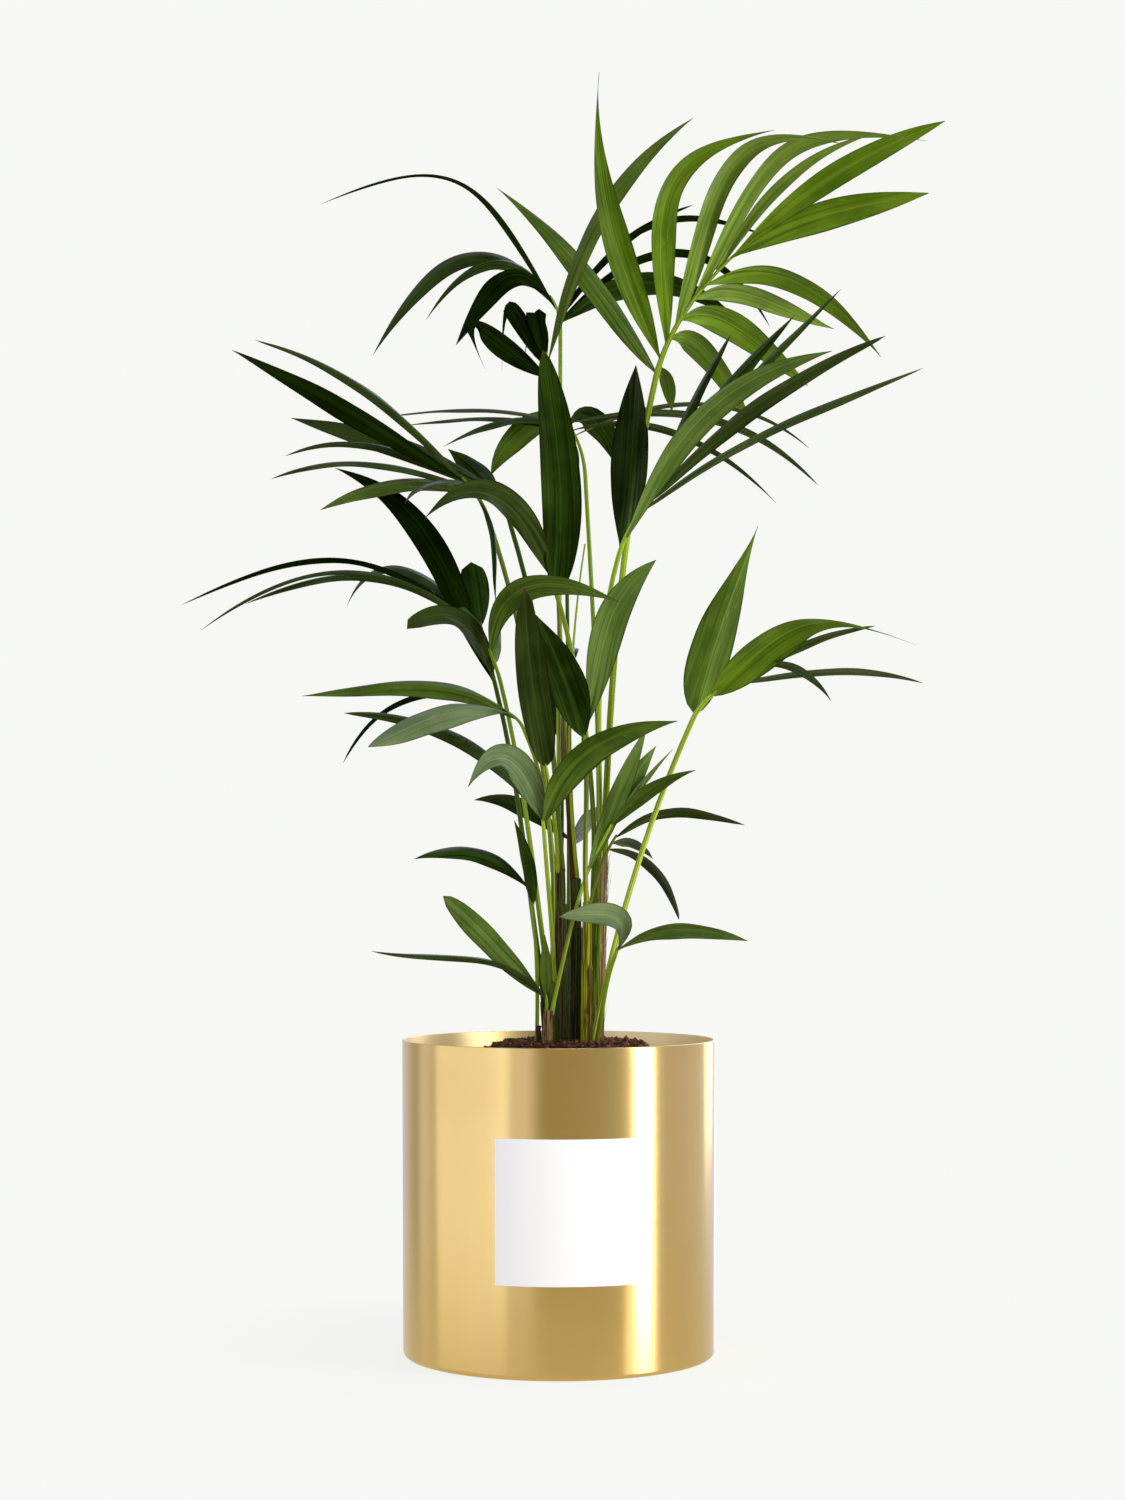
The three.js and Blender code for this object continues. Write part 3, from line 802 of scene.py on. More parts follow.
@dataclass(frozen=True)
class Bezier:
    """A cubic curve in space, in millimetres."""

    start: np.ndarray
    out: np.ndarray
    back: np.ndarray
    end: np.ndarray

    def at(self, t: np.ndarray | float) -> np.ndarray:
        """Gives the points at some parameters.

        Args:
            t: Parameters from 0 to 1.

        Returns:
            One row for each.
        """
        t = np.atleast_1d(np.asarray(t, float))[:, None]
        u = 1 - t
        return u**3 * self.start + 3 * u * u * t * self.out + 3 * u * t * t * self.back + t**3 * self.end

    def slope(self, t: np.ndarray | float) -> np.ndarray:
        """Gives a third of how fast the curve runs at some parameters.

        Args:
            t: Parameters from 0 to 1.

        Returns:
            One row for each.
        """
        t = np.atleast_1d(np.asarray(t, float))[:, None]
        u = 1 - t
        slope = u * u * (self.out - self.start) + 2 * u * t * (self.back - self.out)
        return slope + t * t * (self.end - self.back)

    def tangent(self, t: np.ndarray | float) -> np.ndarray:
        """Gives the unit directions at some parameters, one row for each."""
        slope = self.slope(t)
        return slope / np.linalg.norm(slope, axis=1)[:, None]

    def part(self, first: float, last: float) -> Bezier:
        """Cuts out the stretch between two parameters.

        Args:
            first: Where it starts.
            last: Where it ends.

        Returns:
            The stretch as a curve of its own.
        """
        start, end = self.at([first, last])
        leaves, arrives = self.slope([first, last]) * (last - first)
        return Bezier(start, start + leaves, end - arrives, end)


@dataclass(frozen=True)
class Leaf:
    """One leaflet.

    `seat` is its place on the rib, `tip` its tip on the elevation, `bend` the rise at its root, the fall at
    its tip and the reach of both, `width` its greatest width, `face` how far it turns from facing front at
    its root, `twist` how much farther it has turned at its tip, and `arch` how high its middle is lifted.
    """

    seat: float
    tip: Point
    bend: tuple[float, ...]
    width: float
    face: float
    tone: Tone
    shape: Shape = Shape.PLAIN
    twist: float = 0.0
    arch: float = 0.0

    def turned(self, line: np.ndarray, degrees: float, reach: float) -> np.ndarray:
        """Turns the straight line between the leaflet's ends within the elevation, and shortens it.

        Args:
            line: The straight line from its root to its tip.
            degrees: How far it turns up.
            reach: How much of it is kept.

        Returns:
            The turned line.
        """
        angle = math.radians(degrees) * (-1 if line[0] < 0 else 1)
        across = line[0] * math.cos(angle) - line[2] * math.sin(angle)
        up = line[0] * math.sin(angle) + line[2] * math.cos(angle)
        return np.array([across, line[1] / (3 * reach), up]) * reach

    def curve(self, rib: Bezier) -> Bezier:
        """Works out the line that the leaflet follows.

        Args:
            rib: The rib that it grows on.

        Returns:
            The line from its root to its tip.
        """
        root, tip = rib.at(self.seat)[0], on_elevation(self.tip)
        rise, fall, reach = self.bend if len(self.bend) == 3 else (*self.bend, BEND_REACH)
        out = self.turned(tip - root, rise, reach) + UP * self.arch
        back = self.turned(tip - root, -fall, reach) - UP * self.arch
        return Bezier(root, root + out, tip - back, tip)


@dataclass(frozen=True)
class Frond:
    """One frond: its stalk's foot, the two ends of its leafy rib and its leaflets.

    `on` is a stem and the direction from its middle in degrees, or a place on the soil. `lean` is how far
    the stalk leans to the right at its foot, its neck and its end. `radii` are the stalk's two radii.
    """

    name: str
    on: Footing
    neck: Point
    end: Point
    lean: Point
    radii: Pair
    stalk: Stalk
    leaves: tuple[Leaf, ...]


@dataclass(frozen=True)
class Stem:
    """One stem: its middle on the soil and at its top, the top's height, two radii and its finish."""

    name: str
    foot: Pair
    top: Pair
    height: float
    radii: Pair
    fresh: Colour
    dried: Colour
    dry: float
    dry_side: float
    sheaths: int
    hairs: int


STEMS = (
    Stem("front_left", (-12, -34), (-10, -36), 339, (5, 4.8), (112, 132, 46), (152, 122, 74), 0.3, 250, 1, 4),
    Stem("left", (-7, -14), (-10, -16), 366, (8.5, 9.4), (74, 98, 26), (98, 84, 50), 0.1, 200, 2, 0),
    Stem("middle", (1, 3), (-1, 3), 479, (8, 7.2), (70, 92, 30), (100, 82, 54), 0.22, 250, 3, 26),
    Stem("slim", (18, 12), (17, 12), 469, (5.2, 5.6), (66, 84, 32), (108, 92, 62), 0.25, 190, 2, 22),
    Stem("front", (27, -33), (28, -33), 446, (5.4, 4.6), (156, 158, 30), (128, 104, 40), 0.05, 330, 1, 0),
    Stem("right", (35, 2), (41, 4), 493, (8.4, 8.2), (106, 132, 32), (160, 132, 92), 0.26, 355, 3, 90),
    Stem("back", (6, 30), (6, 34), 430, (7, 6.4), (70, 92, 32), (100, 82, 54), 0.25, 90, 2, 16),
)

FRONDS = (
    Frond(
        "top_right", on=("right", 15), neck=(97, 973, -30), end=(179, 1099, -60), lean=(2, 13, 50),
        radii=(3.6, 3.3), stalk=Stalk.LIGHT, leaves=(
            Leaf(0.03, (-62, 1163, 160), (4, 12), 27, 20, Tone.LEAFY),
            Leaf(0.12, (40, 1279, -175), (-13, -19), 30, 15, Tone.LUSH, Shape.TAPERED),
            Leaf(0.22, (216, 1221, -210), (35, 59, 0.64), 34, 25, Tone.BRIGHT, twist=55),
            Leaf(0.34, (287, 1206, -190), (31, 66, 0.62), 33, 32, Tone.MATT, twist=50),
            Leaf(0.54, (368, 1210, -210), (33, 45, 0.62), 25, 40, Tone.MATT, twist=40),
            Leaf(0.77, (315, 1217, -110), (21, 31), 16, 50, Tone.MATT),
            Leaf(0.9, (386, 1230, -175), (14, 13), 25, 30, Tone.BRIGHT, Shape.OUTWARD),
            Leaf(0.95, (370, 1158, -130), (16, 8), 30, 25, Tone.BRIGHT, Shape.MIDDLE),
            Leaf(0.7, (322, 994, 65), (48, 33, 0.42), 28, 55, Tone.BRIGHT),
            Leaf(0.58, (275, 1022, 95), (40, 9), 24, 50, Tone.MATT),
            Leaf(0.42, (249, 965, 130), (57, 14), 32, 40, Tone.BRIGHT),
            Leaf(0.28, (191, 929, 130), (77, 20), 28, 45, Tone.BRIGHT),
            Leaf(0.08, (113, 939, 30), (40, 10), 16, 30, Tone.BRIGHT),
        )),
    Frond(
        "top_left_back", on=("middle", 90), neck=(1, 1023, 60), end=(-9, 1055, 75), lean=(0, 0, -30),
        radii=(2.7, 2.5), stalk=Stalk.LIGHT, leaves=(
            Leaf(0.5, (-238, 1147, 190), (34, 50, 0.56), 24, 70, Tone.NIGHT, Shape.STRAP),
            Leaf(0.6, (-186, 996, 145), (66, 50, 0.62), 30, 42, Tone.OLIVE, Shape.MIDDLE),
            Leaf(0.8, (-133, 1031, 95), (65, 53, 0.6), 26, 50, Tone.OLIVE),
            Leaf(0.9, (-103, 1006, 30), (82, 32, 0.6), 30, 28, Tone.NIGHT, Shape.MIDDLE),
            Leaf(0.3, (134, 1146, 175), (14, 22), 15, 70, Tone.NIGHT, Shape.STRAP),
            Leaf(0.4, (210, 1114, 210), (30, 44, 0.48), 13, 72, Tone.NIGHT, Shape.STRAP),
            Leaf(0.2, (211, 1024, 240), (45, 66, 0.54), 14, 60, Tone.NIGHT, Shape.STRAP),
            Leaf(0.15, (186, 1021, 160), (42, 47, 0.45), 28, 40, Tone.DEEP),
        )),
    Frond(
        "top_left_front", on=("slim", 180), neck=(-10, 969, 10), end=(-13, 999, 5), lean=(-4, -3, -5),
        radii=(2.3, 2.4), stalk=Stalk.RUSTY, leaves=(
            Leaf(0.6, (134, 1233, -10), (19, 26), 24, 50, Tone.MID, Shape.MIDDLE),
            Leaf(0.15, (-74, 982, -65), (40, 108, 1.36), 30, 22, Tone.NIGHT, Shape.TAILED, twist=38),
            Leaf(0.5, (-57, 980, 30), (63, 90, 2.0), 28, 30, Tone.NIGHT, Shape.TAILED, twist=40),
            Leaf(0.75, (-36, 980, 40), (96, 72, 2.9), 30, 40, Tone.NIGHT, Shape.TAILED, twist=40),
        )),
    Frond(
        "centre_back", on=("right", 110), neck=(26, 875, 60), end=(7, 931, 90), lean=(1, -3, -30),
        radii=(2.7, 2.5), stalk=Stalk.FRESH, leaves=(
            Leaf(0.9, (-169, 935, 255), (15, 11), 20, 70, Tone.GREY, Shape.STRAP),
            Leaf(0.75, (-157, 925, 210), (18, 11), 20, 66, Tone.GREY),
            Leaf(0.85, (-116, 904, 160), (33, 25), 20, 60, Tone.GREY),
            Leaf(0.98, (-68, 876, 175), (66, 43), 30, 20, Tone.LUSH, Shape.MIDDLE),
            Leaf(0.95, (259, 866, 240), (26, 34, 0.4), 13, 60, Tone.GREY, Shape.STRAP),
            Leaf(0.8, (217, 848, 190), (38, 29), 12, 60, Tone.OLIVE),
            Leaf(0.7, (250, 903, 305), (30, 40), 11, 75, Tone.GREY, Shape.STRAP),
            Leaf(0.9, (58, 883, 190), (100, 58, 0.6), 28, 30, Tone.DEEP, Shape.MIDDLE),
        )),
    Frond(
        "centre", on=("right", 190), neck=(-2, 757, -45), end=(-9, 777, -55), lean=(-1, -17, -20),
        radii=(3, 2.8), stalk=Stalk.FRESH, leaves=(
            Leaf(0.15, (-16, 1001, -150), (11, 7), 40, 10, Tone.DEEP, Shape.FULL),
            Leaf(0.8, (-134, 833, -210), (50, 68, 0.62), 32, 25, Tone.OLIVE),
        )),
    Frond(
        "left_high", on=("middle", 180), neck=(-71, 833, -25), end=(-97, 873, -45), lean=(-5, -19, -50),
        radii=(2.6, 2.4), stalk=Stalk.OLIVE, leaves=(
            Leaf(0.9, (-327, 1001, -110), (2, 5), 27, 33, Tone.NIGHT, Shape.MIDDLE),
            Leaf(0.8, (-304, 1011, 20), (13, 20), 22, 60, Tone.OLIVE, Shape.STRAP),
            Leaf(0.7, (-288, 872, -190), (20, 28), 20, 65, Tone.OLIVE, Shape.STRAP),
            Leaf(0.4, (-63, 747, -75), (25, 5), 14, 65, Tone.DEEP),
            Leaf(0.85, (-154, 847, -160), (40, 45), 16, 50, Tone.OLIVE),
        )),
    Frond(
        "left_mid", on=("middle", 0), neck=(-47, 821, -5), end=(-67, 865, -10), lean=(-4, -17, -45),
        radii=(2.6, 2.4), stalk=Stalk.DEEP, leaves=(
            Leaf(0.95, (-268, 933, 95), (8, 8), 28, 30, Tone.OLIVE, Shape.MIDDLE),
            Leaf(0.8, (-274, 895, 0), (15, 36), 22, 58, Tone.OLIVE, Shape.STRAP),
            Leaf(0.6, (-239, 841, -70), (31, 27), 26, 50, Tone.MID, Shape.OUTWARD),
            Leaf(0.9, (-111, 902, 65), (5, 10), 26, 20, Tone.DEEP),
        )),
    Frond(
        "left_wide", on=("left", 200), neck=(-63, 663, -40), end=(-79, 729, -55), lean=(-9, -14, -14),
        radii=(2.7, 2.2), stalk=Stalk.DEEP, leaves=(
            Leaf(0.06, (-224, 883, -30), (12, 36, 0.4), 32, 25, Tone.NIGHT, Shape.MIDDLE),
            Leaf(0.2, (-152, 722, -175), (47, 59, 0.6), 26, 30, Tone.OLIVE, Shape.BLUNT),
            Leaf(0.95, (-88, 789, 20), (3, 3), 28, 10, Tone.DEEP, Shape.FLAT_TOP),
            Leaf(0.9, (-378, 746, 65), (34, 31, 0.47), 22, 70, Tone.NIGHT, Shape.STRAP),
            Leaf(0.8, (-359, 720, -130), (45, 40, 0.45), 20, 70, Tone.OLIVE, Shape.STRAP),
            Leaf(0.85, (-314, 747, -20), (36, 32, 0.42), 20, 65, Tone.OLIVE, Shape.STRAP),
            Leaf(0.98, (-212, 745, 95), (34, 78, 0.5), 20, 50, Tone.GREY),
        )),
    Frond(
        "left_inner", on=("left", 272), neck=(-59, 671, -62), end=(-70, 703, -74), lean=(-8, -14, -18),
        radii=(2.7, 2.1), stalk=Stalk.FRESH, leaves=(
            Leaf(0.9, (60, 749, -200), (70, 44, 0.56), 28, 35, Tone.LEAFY),
            Leaf(0.5, (-58, 723, -5), (5, 5), 12, 30, Tone.MID),
        )),
    Frond(
        "left_low", on=("left", 56), neck=(-35, 622, -70), end=(-51, 639, -85), lean=(0, -24, -60),
        radii=(2.7, 2.1), stalk=Stalk.FRESH, leaves=(
            Leaf(0.5, (-257, 655, -95), (33, 12), 28, 52, Tone.LEAFY),
            Leaf(0.9, (-191, 604, -240), (30, 12), 32, 35, Tone.PALE, Shape.OUTWARD),
            Leaf(0.8, (-216, 588, -5), (46, 50, 0.45), 14, 65, Tone.NIGHT, Shape.STRAP),
        )),
    Frond(
        "low_front", on=("left", 344), neck=(-15, 523, -95), end=(-17, 539, -102), lean=(-2, -4, -8),
        radii=(2.7, 2.3), stalk=Stalk.LIGHT, leaves=(
            Leaf(0.5, (-91, 564, -240), (50, 84, 0.8), 31, 20, Tone.PALE),
            Leaf(0.35, (119, 630, -240), (38, 32, 0.42), 32, 30, Tone.LEAFY),
            Leaf(0.8, (-215, 638, -120), (30, 28), 22, 55, Tone.OLIVE, Shape.STRAP),
        )),
    Frond(
        "front_upright", on=("middle", 270), neck=(-12, 579, -62), end=(-15, 595, -66), lean=(1, -10, -11),
        radii=(2.6, 2.3), stalk=Stalk.LIGHT, leaves=(
            Leaf(0.4, (-35, 763, -200), (-3, -5), 33, 12, Tone.OLIVE, Shape.FULL),
        )),
    Frond(
        "front_pair", on=("front", 0), neck=(25, 609, -55), end=(25, 625, -60), lean=(-6, -7, 0),
        radii=(2.6, 2.5), stalk=Stalk.OLIVE, leaves=(
            Leaf(0.3, (-23, 736, -150), (4, 6), 38, 14, Tone.DEEP),
            Leaf(0.6, (97, 791, -110), (6, 30, 0.42), 34, 14, Tone.SATIN, Shape.OUTWARD),
        )),
    Frond(
        "right_wide", on=(33, -12), neck=(134, 632, -50), end=(201, 684, -75), lean=(11, 24, 65),
        radii=(3, 2.6), stalk=Stalk.SUNNY, leaves=(
            Leaf(0.06, (199, 825, -20), (4, 2), 46, 18, Tone.LEAFY, Shape.WIDE_FOOT),
            Leaf(0.35, (357, 706, -240), (32, 36, 0.58), 42, 20, Tone.BRIGHT, Shape.LONG_TAIL, twist=55),
            Leaf(0.65, (316, 725, -20), (8, 15), 15, 60, Tone.OLIVE, Shape.STRAP),
            Leaf(0.6, (364, 668, 65), (8, 17), 13, 60, Tone.GREY, Shape.STRAP),
            Leaf(0.98, (272, 650, -175), (58, 38), 11, 55, Tone.GREY),
        )),
    Frond(
        "right_high", on=("right", 275), neck=(60, 795, -50), end=(107, 879, -80), lean=(1, 16, 32),
        radii=(2.9, 2.8), stalk=Stalk.LIGHT, leaves=(
            Leaf(0.06, (77, 986, -30), (-5, -2), 40, 16, Tone.PLEATED, Shape.MIDDLE),
            Leaf(0.12, (273, 1000, -240), (26, 34, 0.42), 32, 45, Tone.SATIN, Shape.MIDDLE),
            Leaf(0.95, (236, 1036, -95), (7, 7), 26, 60, Tone.DEEP, Shape.MIDDLE),
            Leaf(0.8, (172, 1017, -15), (5, 5), 18, 58, Tone.DEEP, Shape.STRAP),
            Leaf(0.9, (282, 1062, -10), (5, 3), 18, 68, Tone.DEEP, Shape.STRAP),
            Leaf(0.6, (326, 1015, -185), (12, 14), 24, 58, Tone.OLIVE, Shape.STRAP),
            Leaf(0.5, (364, 983, -80), (13, 6), 18, 70, Tone.GREY, Shape.STRAP),
        )),
    Frond(
        "right_small", on=("front_left", 0), neck=(26, 472, -20), end=(53, 527, -40), lean=(12, 18, 28),
        radii=(2, 1.9), stalk=Stalk.LIGHT, leaves=(
            Leaf(0.08, (88, 625, -70), (2, 2), 22, 25, Tone.SATIN, Shape.MIDDLE),
            Leaf(0.8, (97, 605, -20), (8, 8), 20, 30, Tone.SATIN, Shape.MIDDLE),
            Leaf(0.9, (114, 602, -10), (8, 6), 12, 60, Tone.MID),
            Leaf(0.97, (137, 581, -110), (18, 22), 18, 35, Tone.MID),
        )),
    Frond(
        "right_drooping", on=(25, -14), neck=(47, 496, -22), end=(58, 516, -20), lean=(0, 24, 35),
        radii=(2, 1.9), stalk=Stalk.REDDISH, leaves=(
            Leaf(0.9, (186, 526, -10), (38, 23, 0.42), 18, 55, Tone.OLIVE, Shape.STRAP),
            Leaf(0.6, (94, 492, 65), (45, 30), 14, 45, Tone.GREY),
            Leaf(0.3, (120, 431, 95), (50, 34), 18, 60, Tone.OLIVE, Shape.STRAP),
        )),
    Frond(
        "left_bottom", on=(-22, -18), neck=(-26, 441, -33), end=(-31, 465, -38), lean=(2, -6, -22),
        radii=(2.2, 2.1), stalk=Stalk.FRESH, leaves=(
            Leaf(0.9, (-145, 492, -145), (40, 35, 0.4), 22, 45, Tone.DEEP, Shape.MIDDLE),
            Leaf(0.15, (-45, 531, -95), (5, 6), 20, 50, Tone.DEEP),
        )),
    Frond(
        "back_low", on=("slim", 60), neck=(15, 501, 22), end=(12, 513, 24), lean=(0, -5, -20),
        radii=(2.2, 2.1), stalk=Stalk.BROWN, leaves=(
            Leaf(0.8, (-85, 551, 30), (18, 37), 24, 45, Tone.OLIVE, Shape.MIDDLE),
            Leaf(0.5, (54, 545, 210), (10, 20), 22, 40, Tone.OLIVE),
        )),
    Frond(
        "bottom_left", on=("front_left", 180), neck=(-12, 348, -38), end=(-13, 357, -40), lean=(0, -4, -6),
        radii=(2, 2), stalk=Stalk.FRESH, leaves=(
            Leaf(0.6, (-116, 455, -120), (-1, 6), 27, 30, Tone.MID, Shape.OBLONG),
            Leaf(0.4, (-188, 400, -150), (40, 6, 0.4), 13, 62, Tone.OLIVE, Shape.STRAP),
            Leaf(0.8, (-14, 416, -85), (-3, -3), 14, 30, Tone.MID),
        )),
    Frond(
        "bottom_right", on=(36, -27), neck=(56, 395, -60), end=(59, 403, -62), lean=(14, 20, 20),
        radii=(2.3, 2.1), stalk=Stalk.FRESH, leaves=(
            Leaf(0.5, (0, 434, -130), (85, 38, 0.7), 24, 15, Tone.PALE, Shape.OUTWARD),
            Leaf(0.8, (189, 410, -175), (32, 25), 22, 50, Tone.SATIN, Shape.MIDDLE),
        )),
    Frond(
        "back_mid", on=("back", 180), neck=(1, 646, 60), end=(-3, 671, 90), lean=(-1, -3, -10),
        radii=(2.5, 2.3), stalk=Stalk.DEEP, leaves=(
            Leaf(0.5, (-19, 711, 250), (5, 5), 30, 12, Tone.LEAFY, Shape.MIDDLE, arch=30),
            Leaf(0.75, (13, 683, 240), (5, 5), 30, -10, Tone.DEEP, Shape.MIDDLE, arch=42),
            Leaf(0.92, (-3, 616, 270), (5, 5), 30, 15, Tone.DEEP, Shape.MIDDLE, arch=46),
        )),
    Frond(
        "back_high", on=("back", 0), neck=(7, 806, 50), end=(4, 841, 85), lean=(0, -1, -10),
        radii=(2.5, 2.3), stalk=Stalk.DEEP, leaves=(
            Leaf(0.5, (0, 921, 240), (5, 5), 30, -12, Tone.LEAFY, Shape.MIDDLE, arch=30),
            Leaf(0.7, (12, 871, 270), (5, 5), 30, 10, Tone.DEEP, Shape.MIDDLE, arch=40),
            Leaf(0.9, (-4, 840, 220), (5, 5), 30, -8, Tone.DEEP, Shape.MIDDLE, arch=30),
        )),
)


# ---- Joined meshes ----


@dataclass
class Joined:
    """Many small closed shells that become one mesh, with what their finish reads.

    `points` are in millimetres. `bake` holds a place on the unwrapped sheet for each face corner.
    """

    points: list[np.ndarray] = field(default_factory=list)
    faces: list[np.ndarray] = field(default_factory=list)
    finishes: list[np.ndarray] = field(default_factory=list)
    place: list[np.ndarray] = field(default_factory=list)
    grain: list[np.ndarray] = field(default_factory=list)
    bake: list[np.ndarray] = field(default_factory=list)
    count: int = 0

    def add(self, points: np.ndarray, blocks: tuple[np.ndarray, ...], finish: int = 0,
            **extras: np.ndarray) -> None:
        """Adds one shell.

        Args:
            points: Its vertices.
            blocks: Its faces, in blocks whose faces have the same number of corners.
            finish: The number of its material.
            extras: "place" and "grain", a vector for each vertex, and "bake", two values for each corner.
        """
        self.points.append(points)
        for block in blocks:
            self.faces.append(block + self.count)
            self.finishes.append(np.full(len(block), finish))
        self.count += len(points)
        for name, values in extras.items():
            getattr(self, name).append(values)

    def mesh(self, name: str, materials: list[Material], sharp_above: float) -> Object:
        """Makes the mesh object.

        Args:
            name: The object's name.
            materials: Its materials, in the order of their numbers.
            sharp_above: Edges that bend more than this many degrees are sharp.

        Returns:
            The new object.
        """
        mesh = bpy.data.meshes.new(name)
        faces = [tuple(face) for block in self.faces for face in block.tolist()]
        mesh.from_pydata((np.concatenate(self.points) * MM).tolist(), [], faces)
        for material in materials:
            mesh.materials.append(material)
        mesh.polygons.foreach_set("material_index", np.concatenate(self.finishes).astype(np.int32))
        for label, vectors in (("place", self.place), ("grain", self.grain)):
            if vectors:
                carry(mesh, label, np.concatenate(vectors))
        if self.bake:
            sheet = mesh.uv_layers.new(name="OFBake")
            sheet.data.foreach_set("uv", np.concatenate(self.bake).astype(np.float32).ravel())
        mesh.shade_smooth()
        mesh.set_sharp_from_angle(angle=math.radians(sharp_above))
        mesh.update()
        return link(name, mesh)


# ---- Pot ----


@dataclass
class Pot:
    """The brass pot, in metres."""

    rim: float = 0.156
    foot: float = 0.154
    height: float = 0.310
    wall: float = 0.0025
    edge: float = 0.005
    lip: float = 0.0006
    sides: int = 192
    outside: BrassFinish = BrassFinish()
    # The inside is the same brass with a paler colour, painted light that makes the inner wall look brighter,
    # and a rougher, less brushed finish.
    inside: BrassFinish = BrassFinish("brass_inside", (242, 220, 162), (236, 210, 146), 0.48, 0.5)

    def radius(self, height: float) -> float:
        """Gives the outside radius at a height in metres."""
        return self.foot + (self.rim - self.foot) * height / self.height

    def build(self) -> None:
        """Turns a cylinder into the open pot, with a rounded foot and a softened lip."""
        piece = begin(bpy.ops.mesh.primitive_cylinder_add, vertices=self.sides, radius=self.foot,
                      depth=self.height, location=(0, 0, self.height / 2))
        top = self.height - SLIGHT
        widen = self.rim / self.foot
        with editing():
            pick(Kind.VERTICES, lambda p: p.z > top)
            bpy.ops.transform.resize(value=(widen, widen, 1), center_override=(0, 0, self.height))
            pick_top()
            bpy.ops.mesh.delete(type="FACE")
            pick(Kind.EDGES, lambda a, b: a.z < SLIGHT and b.z < SLIGHT)
            bpy.ops.mesh.bevel(offset=self.edge, offset_type="OFFSET", segments=6, affect="EDGES")
        apply_modifier(piece, "SOLIDIFY", thickness=self.wall, offset=-1.0, use_even_offset=True)
        with editing():
            pick(Kind.EDGES, lambda a, b: a.z > top and b.z > top and abs(a.xy.length - b.xy.length) < SLIGHT)
            bpy.ops.mesh.bevel(offset=self.lip, offset_type="OFFSET", segments=3, affect="EDGES")
        settle(piece, "planter", [self.outside.material(), self.inside.material()])
        for face in piece.data.polygons:
            middle = face.center
            if middle.z > self.edge and middle.xy.length < self.radius(middle.z) - self.wall / 2:
                face.material_index = 1
        hand_over(piece, "pot_brass", "pot")


@dataclass
class Label:
    """The square paper label, in metres, that lies on the pot's front."""

    pot: Pot
    width: float = 0.142
    height: float = 0.137
    bottom: float = 0.088
    turn: float = 3.5
    lift: float = 0.0002
    thickness: float = 0.0004
    steps: int = 48

    def build(self) -> None:
        """Spins an upright edge round the pot's axis and gives the sheet its thickness."""
        half = self.width / 2 / self.pot.radius(self.bottom + self.height / 2)
        start = math.radians(self.turn - 90) - half
        piece = begin(bpy.ops.mesh.primitive_plane_add, size=1)
        with editing():
            pick(Kind.VERTICES, lambda p: p.x > 0)
            bpy.ops.mesh.delete(type="VERT")
        for vertex, height in zip(piece.data.vertices, (self.bottom, self.bottom + self.height)):
            radius = self.pot.radius(height) + self.lift
            vertex.co = (radius * math.cos(start), radius * math.sin(start), height)
        with editing():
            pick_all()
            bpy.ops.mesh.spin(steps=self.steps, angle=-2 * half, center=(0, 0, 0), axis=(0, 0, 1))
            pick_all()
            bpy.ops.mesh.remove_doubles(threshold=SLIGHT)
        face = piece.data.polygons[0]
        if face.normal.dot(face.center) < 0:
            with editing():
                pick_all()
                bpy.ops.mesh.flip_normals()
        apply_modifier(piece, "SOLIDIFY", thickness=self.thickness, offset=1.0)
        settle(piece, "label_card", [PaperFinish().material()])
        hand_over(piece, "label_paper", "label")


# ---- Compost ----


